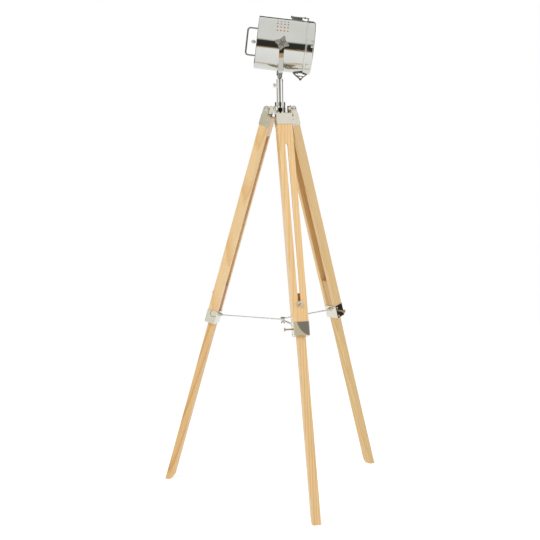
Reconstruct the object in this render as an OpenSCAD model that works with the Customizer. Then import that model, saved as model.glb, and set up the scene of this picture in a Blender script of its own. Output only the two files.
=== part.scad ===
// Tripod spotlight floor lamp.
// The origin lies on the floor under the stem; +Z is up and the head looks along +X.

/* [Stand] */
// Height of the leg pivots above the floor
pivot_h = 1160; // [900:10:1250]
// Distance of each leg pivot from the stem's axis
pivot_r = 34.6; // [34:0.1:40]
// Lean of the opened legs from the vertical, in degrees
leg_lean = 17; // [14:0.5:19]
// Direction of the first leg round the stem, in degrees
leg_turn = 41; // [0:1:119]
// Width of the upper leg
rail_w = 45; // [42:1:50]
// Thickness of the upper leg from its outer to its inner face
rail_d = 30.5; // [29:0.5:34]
// Distance of the pivot behind the upper leg's outer face
pivot_inset = 11; // [10:0.5:13]
// Wood left between the channel and the outer face
channel_web = 8; // [6:0.5:9]
// Width of the lower leg
slider_w = 24; // [20:0.5:26]
// Thickness of the lower leg
slider_d = 21.4; // [18:0.2:21.8]
// Running gap round the lower leg in its channel
slide_gap = 0.3; // [0.2:0.05:0.4]
// Distance from the pivot down to the top of the wood
rail_top = 20.5; // [20:0.5:24]
// Distance from the pivot down to the channel's upper end
channel_top = 80; // [60:1:90]
// Distance from the pivot down to the slot's upper end
slot_top = 111; // [100:1:130]
// Width of the slot
slot_w = 8; // [7:0.5:10]
// Length of the lower leg held inside the upper one
slider_in = 123.5; // [110:0.5:140]
// Distance from the lower leg's upper end down to its knob
knob_down = 33; // [25:1:45]
// Distance from the pivot down to the upper leg's lower end
rail_bottom = 682.5; // [670:0.5:700]
// Part of the foot cut off at its inner edge, along the floor
foot_cut = 7; // [4:0.5:10]
// Angle of that cut from the floor, in degrees
foot_cut_angle = 50; // [35:1:60]

/* [Leg hardware] */
// Thickness of the leg brackets' sheet
bracket_t = 1.5; // [1:0.1:2]
// Distance from the pivot down to the bracket's lower edge
bracket_bottom = 51; // [46:1:60]
// Distance from the pivot down to the upper edge of the bracket's outer plate
bracket_front_top = 18; // [16:0.5:20]
// Radius of the bracket's ears
ear_r = 9.5; // [8.5:0.5:10]
// Diameter of the leg pivot bolts
pivot_bolt_d = 8; // [6:0.5:9]
// Diameter of the pivot bolts' heads and nuts
pivot_head_d = 13; // [12:0.5:15]
// Thickness of the pivot bolts' heads and nuts
pivot_head_t = 5; // [4:0.5:6]
// Diameter of the wood screws' heads
screw_head_d = 5; // [4:0.5:6]
// Diameter of the wood screws' shanks
screw_d = 3; // [2.5:0.1:3.5]
// Length of the wood screws' shanks in the wood
screw_len = 8; // [5:0.5:9]
// Thickness of the clamps' sheet
clamp_t = 1.2; // [1:0.1:1.6]
// Height of the clamps along the leg
clamp_h = 40; // [36:1:46]
// Width and height of the window in the clamp's inner plate
window = 12; // [10:0.5:13]
// Diameter of the side thumbscrew's shank
side_screw_d = 4.5; // [4:0.5:6]
// Length of the side thumbscrew outside the clamp
side_screw_out = 22; // [16:1:28]
// Diameter of the side thumbscrew's disc
side_disc_d = 11; // [9:0.5:13]
// Distance from the clamp's upper edge down to the side thumbscrew
side_screw_down = 18.5; // [16:0.5:22]
// Diameter of the bolt in the slot
slot_bolt_d = 6; // [5:0.5:6.5]
// Diameter of the dished knob on that bolt
slot_knob_d = 16; // [14:0.5:20]

/* [Brace] */
// Distance of the arms' pins inside the clamp's inner plate
arm_pin_out = 7.5; // [7:0.5:10]
// Distance from the clamp's upper edge down to the arms' pins
arm_pin_below = 10; // [9:0.5:12]
// Distance from the arms' pins down to the middle arm's inner end
brace_drop = 7.3; // [5:0.1:12]
// Width of the arms
arm_w = 8; // [6:0.5:8]
// Thickness of the arms
arm_t = 2.2; // [1.8:0.1:2.4]
// Height from one arm's inner end to the next
arm_step = 2.7; // [2.6:0.1:3]
// Diameter of the bolt through the arms' inner ends
brace_bolt_d = 5; // [4:0.5:6]
// Radius of the eyes at the arms' inner ends
eye_r = 6; // [5:0.5:7]
// Diameter of the arms' pins
arm_pin_d = 3; // [2.5:0.1:3.2]
// Diameter of the cap over the brace
brace_cap_d = 15; // [12:0.5:18]
// Height of the cap over the brace
brace_cap_h = 4; // [3:0.5:6]
// Span of the wing nut's wings
wing_span = 14; // [12:0.5:20]
// Length of the wing nut's wings below its hub
wing_h = 7; // [5:0.5:9]

/* [Hub and stem] */
// Radius of the hub's barrel
barrel_r = 15; // [14:0.5:16]
// Radius of the hub's base disc
hub_disc_r = 30; // [28:0.5:31]
// Thickness of the hub's base disc
hub_disc_t = 4; // [3:0.5:5]
// Depth of the hub's base below the leg pivots
hub_below = 16; // [14:0.5:16]
// Radius of the lugs round the leg pivots, and the hub's height above them
lug_r = 8; // [7:0.5:8.5]
// Thickness of each lug
lug_t = 3.5; // [3:0.1:4.5]
// Outer diameter of the stem tube
stem_d = 19; // [16:0.5:22]
// Wall of the stem tube
stem_wall = 1.5; // [1:0.1:2]
// Height of the stem tube's top above the leg pivots
stem_top_up = 89; // [80:1:120]
// Outer diameter of the collar
collar_d = 31; // [28:0.5:34]
// Height of the collar
collar_h = 12; // [10:0.5:16]
// Diameter of the collar's grub screws
grub_d = 5; // [4:0.5:6]
// Diameter of the yoke's spigot
spigot_d = 10; // [8:0.5:12]
// Length of the spigot inside the stem
spigot_len = 43; // [35:1:55]
// Distance from the stem's top down to its thumbscrew
stem_screw_down = 19; // [15:1:25]
// Diameter of the stem thumbscrew's shank
stem_screw_d = 5; // [4:0.5:6]
// Diameter of the stem thumbscrew's head
stem_knob_d = 12; // [10:0.5:14]

/* [Yoke] */
// Width of the yoke's strap
strap_w = 14; // [12:0.5:16]
// Thickness of the yoke's strap
strap_t = 3; // [2.5:0.5:4]
// Height of the strap's underside above the stem
boss_h = 13; // [10:0.5:16]
// Diameter of the spigot's boss under the strap
boss_d = 14.4; // [13:0.2:16]
// Gap between the drum and the strap below it
strap_gap = 7.5; // [7.5:0.5:20]
// Gap between the drum and each arm of the yoke
yoke_gap = 4.5; // [4:0.5:8]
// Forward lean of the yoke's arms, in degrees
yoke_lean = 3.5; // [0:0.5:5]
// Outward lean of the yoke's arms below the pivots, in degrees
yoke_flare = 9.5; // [0:0.5:10]
// Length of the arms' upright part below the pivots
strap_flat = 14; // [10:1:20]
// Outer radius of the yoke's bends
bend_r = 10; // [8:0.5:14]
// Diameter of the tilt bolts
tilt_bolt_d = 8; // [6:0.5:8.5]
// Distance of the star knobs' points from their middle
star_r = 22; // [18:0.5:24]
// Radius of the star knobs at the waist between two points
star_waist = 14; // [12:0.5:15]
// Thickness of the star knobs
star_t = 12; // [8:0.5:14]
// Turn of the star knobs at rest, in degrees
star_turn = 18.5; // [0:0.5:45]

/* [Head] */
// Diameter of the drum
drum_d = 157; // [150:1:160]
// Wall of the drum, the rear plate and the door ring
drum_wall = 1.2; // [1:0.1:1.5]
// Length of the drum behind the tilt pivot
drum_back = 73.5; // [70:0.5:76]
// Length of the drum from the tilt pivot to the door
drum_fore = 69.3; // [68:0.1:72]
// Length of the door ring
door_len = 26; // [24:0.5:30]
// Radius of the door ring's front edge
door_edge_r = 4; // [3:0.5:5]
// Width of the door ring's front lip
door_lip = 7; // [6:0.5:9]
// Depth of the bead inside the door ring that the glass rests on
bead_depth = 3.5; // [3:0.5:5]
// Distance from the door ring's front edge back to that bead
bead_back = 11.6; // [10:0.2:14]
// Gap between the drum and the door ring
seam = 0.4; // [0.3:0.1:0.6]
// Downward tilt of the head at rest, in degrees
head_tilt = 7.25; // [0:0.25:9]
// Number of vent holes along and round the drum in each group
vent_n = 4; // [2:1:5]
// Diameter of the vent holes
vent_d = 4.6; // [3:0.2:6]
// Distance between vent holes along the drum
vent_pitch = 10.4; // [9:0.2:12]
// Angle between vent holes round the drum, in degrees
vent_step = 9.6; // [8:0.2:11]
// Height of the vents' middle round the drum, in degrees above the pivot
vent_angle = 42.5; // [38:0.5:46]
// Diameter of the rear handle's rod
handle_rod_d = 5; // [4:0.5:7]
// Height between the rear handle's arms
handle_h = 81; // [70:1:90]
// Distance of the rear handle's grip behind the drum
handle_out = 29.5; // [26:0.5:34]
// Bend radius at the rear handle's corners
handle_bend = 8; // [6:0.5:12]
// Diameter of the ball knob at the rear
ball_d = 12; // [10:0.5:14]
// Diameter of the ball knob's shank
rear_stud_d = 5; // [4:0.5:6]
// Diameter of the grommet's hole for the lead
lead_hole_d = 7; // [6:0.5:8]
// Distance of the grommet below the drum's middle
grommet_down = 56; // [52:1:60]
// Diameter of the lampholder
holder_d = 38; // [34:1:40]
// Diameter of the bulb's globe
bulb_d = 60; // [50:1:64]
// Length of the reflector
reflector_len = 80; // [74:1:84]
// Radius of the opening at the back of the reflector
reflector_neck = 21; // [20:0.5:24]
// Width of the reflector's flat rim
reflector_rim = 3.2; // [2:0.2:5]
// Distance of the reflector's rim behind the door
reflector_back = 6.3; // [5:0.1:9]
// Thickness of the front glass
lens_t = 3; // [2:0.5:4]
// Distance of the hinge pin below the drum's surface
hinge_drop = 17; // [15:0.5:20]
// Diameter of the hinge pin
hinge_pin_d = 3; // [2.5:0.1:3.5]
// Height of the latch lever's pivot above the drum's surface
latch_up = 6.5; // [6:0.5:8]

/* [Hidden] */
$fn = 64;

// Radial gap between a shaft and the hole in which it turns
run_gap = 0.06;
// Gap between faces that lie against each other
seat_gap = 0.1;
// Gap under a knob that can be screwed down
knob_gap = 0.3;
// Extra length of a cutting tool past the faces it cuts
past = 1;
chrome = "#c9cbc8";
wood = "#e6c698";
dark_steel = "#55544c";

// Places along a leg are distances below its pivot; x = 0 is the pivot's plane and +x points out.
face_x = pivot_inset;
inner_x = face_x - rail_d;
channel_w = slider_w + 2 * slide_gap;
slider_x = face_x - channel_web - slide_gap;
slider_top = rail_bottom - slider_in;
slot_knob_at = slider_top + knob_down;
slot_bottom = slot_knob_at + slot_w / 2 + 2;
clamp_top = rail_bottom + 0.5 - clamp_h;
side_screw_at = clamp_top + side_screw_down;
arm_pin_down = clamp_top + arm_pin_below;
clamp_x0 = inner_x - seat_gap - clamp_t;
clamp_y = rail_w / 2 + seat_gap + clamp_t;
bracket_y = rail_w / 2 + seat_gap;
foot_at = (pivot_h + slider_x * sin(leg_lean)) / cos(leg_lean);
foot_r = pivot_r + slider_x * cos(leg_lean) + foot_at * sin(leg_lean);
screw_rows = [28, 45];
rivet_rows = [7, clamp_h - 6];
rivet_x = inner_x + 7;
rivet_len = 6;

// The arms' pins, and each arm's inner end
pin_x = clamp_x0 - arm_pin_out;
pin_r = pivot_r + pin_x * cos(leg_lean) + arm_pin_down * sin(leg_lean);
pin_h = pivot_h + pin_x * sin(leg_lean) - arm_pin_down * cos(leg_lean);
knuckle_r = arm_pin_d / 2 + 2;
brace_h = pin_h - brace_drop;
ear_y = arm_w / 2 + knob_gap;

// Heights on the stem
hub_z = pivot_h - hub_below;
hub_top = pivot_h + lug_r;
stem_top = pivot_h + stem_top_up;
strap_z = stem_top + boss_h;
tilt_h = strap_z + strap_t + strap_gap + drum_d / 2;
// Height at which the yoke's lower bends end and its arms begin, and from where they lean
arm_z = strap_z + bend_r - bend_r * sin(yoke_flare);
tilt_x = (tilt_h - arm_z) * tan(yoke_lean);
stem_bore_r = stem_d / 2 - stem_wall;
stem_screw_z = stem_top - stem_screw_down;

// The drum, in its own frame: x runs forward along its axis from the tilt pivot
drum_r = drum_d / 2;
door_x = drum_fore + seam;
door_end = door_x + door_len;
lens_seat_x = door_end - bead_back;
lens_screw_x = lens_seat_x + lens_t + 2 * seat_gap + screw_d / 2;
arm_in = drum_r + yoke_gap;
arm_out = arm_in + strap_t;

// The yoke's arms: their length from the bends to the pivots, and where the strap's flat part ends
arm_up = (tilt_h - arm_z) / cos(yoke_lean);
arm_rise = arm_up - strap_flat - (bend_r + strap_t) * sin(yoke_flare);
bend_y = arm_in - bend_r + (bend_r + strap_t) * cos(yoke_flare) - arm_rise * tan(yoke_flare)
    - bend_r * cos(yoke_flare);
stud_d = spigot_d - 2;

hinge_x = drum_fore + seam / 2;
hinge_z = -(drum_r + hinge_drop);
hinge_knuckle_r = hinge_pin_d / 2 + 2;
latch_z = drum_r + latch_up;
latch_x = drum_fore - 19;
keeper_x = door_x + 1;
// The bail's pin, seen from the lever's pivot, and the bail's length and wire
bail_dx = 8;
bail_dz = 2.5;
bail_reach = keeper_x + 1.6 - latch_x + bail_dx;
bail_wire = 2;

function leg_azimuth(i) = leg_turn + 120 * (i - 1);
function arm_end_h(i) = brace_h + arm_step * (2 - i);
function arm_len(i) = sqrt(pow(pin_r, 2) + pow(pin_h - arm_end_h(i), 2));
function arm_dip(i) = asin((pin_h - arm_end_h(i)) / arm_len(i));
function arc_points(cx, cy, r, a0, a1, n) =
    [for (k = [0 : n]) let (a = a0 + (a1 - a0) * k / n) [cx + r * cos(a), cy + r * sin(a)]];

// Leg frame: the pivot is its origin, +Z runs up the leg and +X points away from the stem.
module on_leg(i) {
    rotate([0, 0, leg_azimuth(i)])
        translate([pivot_r, 0, pivot_h])
            rotate([0, -leg_lean, 0])
                children();
}

// Arm frame: the pin at the clamp is its origin and the arm runs along -X to the brace's middle.
module on_arm(i) {
    rotate([0, 0, leg_azimuth(i)])
        translate([pin_r, 0, pin_h])
            rotate([0, -arm_dip(i), 0])
                children();
}

module on_head() {
    translate([tilt_x, 0, tilt_h])
        rotate([0, head_tilt, 0])
            children();
}

// A block from its low to its high corner
module block(low, high) {
    translate(low)
        cube(high - low);
}

module x_rod(d, x0, x1) {
    translate([x0, 0, 0])
        rotate([0, 90, 0])
            cylinder(d = d, h = x1 - x0);
}

module y_rod(d, y0, y1) {
    translate([0, y1, 0])
        rotate([90, 0, 0])
            cylinder(d = d, h = y1 - y0);
}

// A profile of radius and length, turned round the X axis
module x_turned(points) {
    rotate([0, 90, 0])
        rotate_extrude($fn = 128)
            polygon(points);
}

// A flat profile in X and Z, from y0 to y1
module y_plate(y0, y1) {
    translate([0, y1, 0])
        rotate([90, 0, 0])
            linear_extrude(y1 - y0)
                children();
}

// A rectangle with round corners, from its low to its high corner
module round_box(low, high, r) {
    translate([low[0] + r, low[1]])
        square([high[0] - low[0] - 2 * r, high[1] - low[1]]);
    translate([low[0], low[1] + r])
        square([high[0] - low[0], high[1] - low[1] - 2 * r]);
    for (x = [low[0] + r, high[0] - r], y = [low[1] + r, high[1] - r])
        translate([x, y])
            circle(r);
}

// ---- hub and stem ----

module hub() {
    color(chrome)
        difference() {
            union() {
                translate([0, 0, hub_z])
                    cylinder(r = hub_disc_r, h = hub_disc_t);
                translate([0, 0, hub_z])
                    cylinder(r = barrel_r, h = hub_top - hub_z);
                for (i = [1 : 3], side = [-1, 1])
                    rotate([0, 0, leg_azimuth(i)])
                        lug(side);
            }
            translate([0, 0, hub_z + hub_disc_t])
                cylinder(d = stem_d + 2 * run_gap, h = hub_top - hub_z);
        }
}

// One of the two lugs that carry a leg's pivot bolt
module lug(side) {
    y1 = rail_w / 2 - knob_gap;
    y0 = y1 - lug_t;
    a = side > 0 ? y0 : -y1;
    b = side > 0 ? y1 : -y0;
    lug_in = y1 / tan(60);
    difference() {
        y_plate(a, b)
            union() {
                polygon([[lug_in, hub_z], [hub_disc_r - 4, hub_z],
                    [pivot_r + lug_r * 0.6, pivot_h - lug_r * 0.8], [pivot_r, hub_top], [lug_in, hub_top]]);
                translate([pivot_r, pivot_h])
                    circle(lug_r);
            }
        translate([pivot_r, 0, pivot_h])
            y_rod(pivot_bolt_d + 2 * run_gap, a - past, b + past);
    }
}

module leg_pivot_bolts() {
    end_y = bracket_y + bracket_t + seat_gap;
    color(chrome)
        for (i = [1 : 3])
            on_leg(i) {
                y_rod(pivot_bolt_d, -end_y - 1, end_y + 1);
                y_rod(pivot_head_d, end_y, end_y + pivot_head_t);
                y_rod(pivot_head_d, -end_y - pivot_head_t, -end_y);
            }
}

module stem_tube() {
    z0 = hub_z + hub_disc_t + seat_gap;
    color(chrome)
        difference() {
            translate([0, 0, z0])
                cylinder(d = stem_d, h = stem_top - z0);
            translate([0, 0, z0 - past])
                cylinder(r = stem_bore_r, h = stem_top - z0 + 2 * past);
            translate([0, 0, stem_screw_z])
                x_rod(stem_screw_d + 2 * run_gap, -stem_d, 0);
        }
}

module stem_collar() {
    color(chrome)
        difference() {
            translate([0, 0, hub_top + seat_gap])
                cylinder(d = collar_d, h = collar_h);
            translate([0, 0, hub_top])
                cylinder(d = stem_d + 2 * run_gap, h = collar_h + past);
            for (a = [-90, 0, 180])
                rotate([0, 0, a])
                    translate([0, 0, hub_top + seat_gap + collar_h / 2])
                        x_rod(grub_d, 0, collar_d);
        }
}

module collar_screws() {
    color("#26262a")
        for (a = [-90, 0, 180])
            rotate([0, 0, a])
                translate([0, 0, hub_top + seat_gap + collar_h / 2])
                    x_rod(grub_d - 2 * run_gap, stem_d / 2 + seat_gap, collar_d / 2 - 0.8);
}

module stem_bush() {
    z0 = stem_top - spigot_len - 1;
    color("#3a3a3c")
        difference() {
            translate([0, 0, z0])
                cylinder(r = stem_bore_r - run_gap, h = stem_top - 1 - z0);
            translate([0, 0, z0 - past])
                cylinder(d = spigot_d + 2 * run_gap, h = spigot_len + 2 * past);
            translate([0, 0, stem_screw_z])
                x_rod(stem_screw_d + 2 * run_gap, -stem_d, 0);
        }
}

module stem_thumbscrew() {
    head_x = stem_d / 2 + 2;
    head_l = 9;
    edge = 2.5;
    color(chrome)
        translate([0, 0, stem_screw_z])
            rotate([0, 0, 180])
                x_turned(concat([[0, spigot_d / 2 + knob_gap], [stem_screw_d / 2, spigot_d / 2 + knob_gap],
                        [stem_screw_d / 2, head_x]],
                    arc_points(stem_knob_d / 2 - edge, head_x + edge, edge, -90, 0, 4),
                    arc_points(stem_knob_d / 2 - edge, head_x + head_l - edge, edge, 0, 90, 4),
                    [[0, head_x + head_l]]));
}

// ---- legs ----

module upper_leg(i) {
    color(wood)
        on_leg(i)
            difference() {
                block([inner_x, -rail_w / 2, -rail_bottom], [face_x, rail_w / 2, -rail_top]);
                block([inner_x - past, -channel_w / 2, -rail_bottom - past],
                    [face_x - channel_web, channel_w / 2, -channel_top]);
                leg_slot();
                for (side = [-1, 1])
                    screw_holes(side);
                translate([slider_x - slider_d / 2, 0, -side_screw_at])
                    y_rod(side_screw_d + 1.5, -rail_w, 0);
            }
}

module leg_slot() {
    block([0, -slot_w / 2, -slot_bottom + slot_w / 2],
        [face_x + past, slot_w / 2, -slot_top - slot_w / 2]);
    for (z = [slot_top + slot_w / 2, slot_bottom - slot_w / 2])
        translate([0, 0, -z])
            x_rod(slot_w, 0, face_x + past);
}

// Pilot holes for the screws and rivets of one side
module screw_holes(side) {
    y = rail_w / 2;
    for (z = screw_rows)
        translate([0, 0, -z])
            y_rod(screw_d + 2 * run_gap, min(side * (y - screw_len), side * (y + past)),
                max(side * (y - screw_len), side * (y + past)));
    for (z = rivet_rows)
        translate([rivet_x, 0, -clamp_top - z])
            y_rod(screw_d + 2 * run_gap, min(side * (y - rivet_len), side * (y + past)),
                max(side * (y - rivet_len), side * (y + past)));
}

module leg_bracket(i) {
    y1 = bracket_y + bracket_t;
    color(chrome)
        on_leg(i)
            difference() {
                union() {
                    block([face_x + seat_gap, -y1, -bracket_bottom],
                        [face_x + seat_gap + bracket_t, y1, -bracket_front_top]);
                    for (y = [-y1, bracket_y])
                        y_plate(y, y + bracket_t)
                            bracket_side();
                }
                y_rod(pivot_bolt_d + 2 * run_gap, -rail_w, rail_w);
                for (z = screw_rows)
                    translate([0, 0, -z])
                        y_rod(screw_d + 2 * run_gap, -rail_w, rail_w);
            }
}

// Side plate of the bracket: the full depth of the leg below, and an ear round the pivot above
module bracket_side() {
    translate([inner_x, -bracket_bottom])
        square([face_x + seat_gap + bracket_t - inner_x, bracket_bottom - rail_top]);
    translate([face_x - 2 * ear_r, -rail_top - past])
        square([2 * ear_r, rail_top + past]);
    translate([face_x - ear_r, 0])
        circle(ear_r);
}

module leg_clamp(i) {
    x1 = face_x + seat_gap + clamp_t;
    tab_x = pin_x - knuckle_r;
    color(chrome)
        on_leg(i)
            difference() {
                union() {
                    translate([0, 0, -clamp_top - clamp_h])
                        linear_extrude(clamp_h)
                            difference() {
                                round_box([clamp_x0, -clamp_y], [x1, clamp_y], 2);
                                translate([clamp_x0 + clamp_t, -clamp_y + clamp_t])
                                    square([x1 - clamp_x0 - 2 * clamp_t, 2 * (clamp_y - clamp_t)]);
                            }
                    for (y = [-ear_y - clamp_t, ear_y])
                        y_plate(y, y + clamp_t)
                            clamp_tab(tab_x);
                }
                block([clamp_x0 - past, -ear_y, -arm_pin_down - window / 2],
                    [clamp_x0 + clamp_t + seat_gap / 2, ear_y, -arm_pin_down + window / 2]);
                translate([pin_x, 0, -arm_pin_down])
                    y_rod(arm_pin_d + 2 * run_gap, -rail_w, rail_w);
                translate([slider_x - slider_d / 2, 0, -side_screw_at])
                    y_rod(side_screw_d + 2 * run_gap, -rail_w, 0);
                for (z = rivet_rows)
                    translate([rivet_x, 0, -clamp_top - z])
                        y_rod(screw_d + 2 * run_gap, -rail_w, rail_w);
            }
}

// A tab bent out of the inner plate; the arm's pin goes through it
module clamp_tab(tab_x) {
    translate([pin_x, -arm_pin_down])
        circle(knuckle_r);
    translate([pin_x, -arm_pin_down - knuckle_r])
        square([clamp_x0 + clamp_t - pin_x, 2 * knuckle_r]);
}

// The bracket's screws, the clamp's rivets and the arm's pin of one leg
module leg_fasteners(i) {
    color(chrome)
        on_leg(i) {
            for (side = [-1, 1]) {
                for (z = screw_rows)
                    translate([0, 0, -z])
                        side_fastener(side, bracket_y + bracket_t, screw_len - seat_gap);
                for (z = rivet_rows)
                    translate([rivet_x, 0, -clamp_top - z])
                        side_fastener(side, clamp_y, rivet_len - seat_gap);
            }
            translate([pin_x, 0, -arm_pin_down]) {
                y_rod(arm_pin_d, -ear_y - clamp_t - 1, ear_y + clamp_t + 1);
                for (y = [-ear_y - clamp_t - 1.6, ear_y + clamp_t + seat_gap])
                    y_rod(arm_pin_d + 2, y, y + 1.5);
            }
        }
}

// A round-headed fastener through a plate whose outer face is at y
module side_fastener(side, y, len) {
    tip = rail_w / 2 - len;
    head = 1.4;
    mirror([0, side > 0 ? 0 : 1, 0]) {
        y_rod(screw_d, tip, y + head / 2);
        y_rod(screw_head_d, y + seat_gap / 2, y + head);
    }
}

module side_thumbscrew(i) {
    tip = -slider_w / 2 - knob_gap;
    end = -clamp_y - side_screw_out;
    disc_t = 2.4;
    color(chrome)
        on_leg(i)
            translate([slider_x - slider_d / 2, 0, -side_screw_at]) {
                y_rod(side_screw_d, end, tip);
                y_rod(side_disc_d, end - disc_t / 2, end + disc_t / 2);
            }
}

module lower_leg(i) {
    reach = 2 * pivot_h;
    inner_foot_r = foot_r - slider_d / cos(leg_lean);
    color(wood)
        difference() {
            intersection() {
                on_leg(i)
                    difference() {
                        block([slider_x - slider_d, -slider_w / 2, -foot_at - rail_w],
                            [slider_x, slider_w / 2, -slider_top]);
                        translate([0, 0, -slot_knob_at])
                            x_rod(slot_bolt_d, slider_x - slider_d / 2, face_x);
                    }
                block([-reach, -reach, 0], [reach, reach, reach]);
            }
            rotate([0, 0, leg_azimuth(i)])
                translate([inner_foot_r + foot_cut, 0, 0])
                    rotate([0, foot_cut_angle - 180, 0])
                        block([-past, -rail_w, 0], [rail_w, rail_w, rail_w]);
        }
}

module slot_bolt(i) {
    color(chrome)
        on_leg(i)
            translate([0, 0, -slot_knob_at])
                x_rod(slot_bolt_d - 2 * run_gap, slider_x - slider_d / 2 + seat_gap, face_x + 7);
}

// A nut with a dished, flared rim
module slot_knob(i) {
    r = slot_knob_d / 2;
    bore = slot_bolt_d / 2;
    color(chrome)
        on_leg(i)
            translate([face_x + knob_gap, 0, -slot_knob_at])
                x_turned([[bore, 0], [bore + 2, 0], [bore + 2.4, 1.6], [r - 1.2, 4], [r, 6],
                    [r - 0.8, 6.4], [r - 2, 5], [bore + 1.8, 3.2], [bore + 1.6, 5], [bore, 5]]);
}

// ---- brace ----

module brace_arm(i) {
    color("#dfe1de")
        on_arm(i)
            difference() {
                union() {
                    block([-arm_len(i), -arm_w / 2, -arm_t / 2], [-1, arm_w / 2, arm_t / 2]);
                    translate([-arm_len(i), 0, -arm_t / 2])
                        cylinder(r = eye_r, h = arm_t);
                    y_rod(2 * knuckle_r - 0.4, -arm_w / 2, arm_w / 2);
                }
                translate([-arm_len(i), 0, -arm_t])
                    cylinder(d = brace_bolt_d + 4 * run_gap, h = 2 * arm_t);
                y_rod(arm_pin_d + 2 * run_gap, -arm_w, arm_w);
            }
}

module brace_cap() {
    r = brace_cap_d / 2;
    stub = brace_bolt_d / 2;
    color(dark_steel)
        on_arm(1)
            translate([-arm_len(1), 0, 0])
                rotate_extrude()
                    polygon([[0, -arm_t / 2], [stub, -arm_t / 2], [stub, arm_t / 2 + seat_gap],
                        [r, arm_t / 2 + seat_gap], [r - 0.6, arm_t / 2 + 1.6],
                        [r * 0.6, arm_t / 2 + brace_cap_h - 0.6], [0, arm_t / 2 + brace_cap_h]]);
}

module brace_wing_nut() {
    hub_r = 4;
    hub_h = 4;
    wing_t = 2;
    z1 = -arm_t / 2 - knob_gap;
    stub = brace_bolt_d / 2 - seat_gap;
    color(dark_steel)
        on_arm(3)
            translate([-arm_len(3), 0, 0]) {
                translate([0, 0, z1 - hub_h])
                    cylinder(r1 = hub_r - 1, r2 = hub_r, h = hub_h);
                translate([0, 0, z1 - 1])
                    cylinder(r = stub, h = 1 - z1 + arm_t / 2 - seat_gap);
                rotate([0, 0, 35])
                    y_plate(-wing_t / 2, wing_t / 2)
                        for (side = [-1, 1])
                            polygon([[side * 1, z1 - hub_h + 3], [side * (hub_r - 0.4), z1 - 1.5],
                                [side * wing_span / 2, z1 - hub_h - wing_h + 4],
                                [side * (wing_span / 2 - 1.5), z1 - hub_h - wing_h + 2.6],
                                [side * 2.2, z1 - hub_h]]);
            }
}

// ---- yoke ----

// A strap bent up at both ends; its arms lean outward and end in an upright part at the pivots
module yoke() {
    color(chrome)
        difference() {
            union() {
                block([-strap_w / 2, -bend_y, strap_z], [strap_w / 2, bend_y, strap_z + strap_t]);
                for (side = [0, 1])
                    mirror([0, side, 0]) {
                        strap_bend();
                        translate([0, 0, arm_z])
                            rotate([0, yoke_lean, 0])
                                yoke_arm();
                    }
            }
            translate([0, 0, strap_z - past])
                cylinder(d = stud_d + 2 * run_gap, h = strap_t + 2 * past);
        }
}

module strap_bend() {
    rotate([90, 0, 90])
        translate([0, 0, -strap_w / 2])
            linear_extrude(strap_w)
                polygon(concat(
                    [[bend_y - past, strap_z]],
                    arc_points(bend_y, strap_z + bend_r, bend_r, -90, -yoke_flare, 12),
                    arc_points(bend_y, strap_z + bend_r, bend_r - strap_t, -yoke_flare, -90, 12),
                    [[bend_y - past, strap_z + strap_t]]));
}

// One arm, in a frame that leans with it and starts where the lower bend ends
module yoke_arm() {
    sink = 0.6;
    foot_y = bend_y + bend_r * cos(yoke_flare);
    difference() {
        union() {
            rotate([90, 0, 90])
                translate([0, 0, -strap_w / 2])
                    linear_extrude(strap_w)
                        polygon(concat(
                            [[foot_y - sink * sin(yoke_flare), -sink * cos(yoke_flare)]],
                            arc_points(arm_in - bend_r, arm_up - strap_flat, bend_r + strap_t,
                                -yoke_flare, 0, 4),
                            [[arm_out, arm_up], [arm_in, arm_up]],
                            arc_points(arm_in - bend_r, arm_up - strap_flat, bend_r, 0, -yoke_flare, 4),
                            [[foot_y - strap_t * cos(yoke_flare) - sink * sin(yoke_flare),
                                strap_t * sin(yoke_flare) - sink * cos(yoke_flare)]]));
            translate([0, 0, arm_up])
                y_rod(strap_w, arm_in, arm_out);
        }
        translate([0, 0, arm_up])
            y_rod(tilt_bolt_d + 2 * run_gap, arm_in - past, arm_out + past);
    }
}

module yoke_spigot() {
    z0 = stem_top + knob_gap;
    stud_r = stud_d / 2;
    head_r = 6.5;
    z1 = strap_z + strap_t;
    color(chrome)
        rotate_extrude()
            polygon(concat([[0, stem_top - spigot_len], [spigot_d / 2, stem_top - spigot_len],
                    [spigot_d / 2, z0]],
                arc_points(boss_d / 2 - (boss_d - spigot_d), z0 + 6, boss_d - spigot_d, -48, 0, 5),
                [[boss_d / 2, strap_z - seat_gap], [stud_r, strap_z - seat_gap], [stud_r, z1 + seat_gap],
                    [head_r, z1 + seat_gap], [head_r - 0.8, z1 + 1.2], [0, z1 + 1.2]]));
}

// ---- head ----

module drum_shell() {
    color(chrome)
        on_head()
            difference() {
                x_turned([[drum_r - drum_wall, -drum_back], [drum_r, -drum_back], [drum_r, drum_fore],
                    [drum_r - drum_wall, drum_fore]]);
                for (side = [-1, 1])
                    vents(side);
                y_rod(tilt_bolt_d + 2 * run_gap, -drum_d, drum_d);
            }
}

module vents(side) {
    for (k = [0 : vent_n - 1], m = [0 : vent_n - 1])
        translate([-2 + vent_pitch * (k - (vent_n - 1) / 2), 0, 0])
            rotate([-side * (90 - vent_angle - vent_step * (m - (vent_n - 1) / 2)), 0, 0])
                translate([0, 0, drum_r - 3 * drum_wall])
                    cylinder(d = vent_d, h = 5 * drum_wall, $fn = 24);
}

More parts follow.
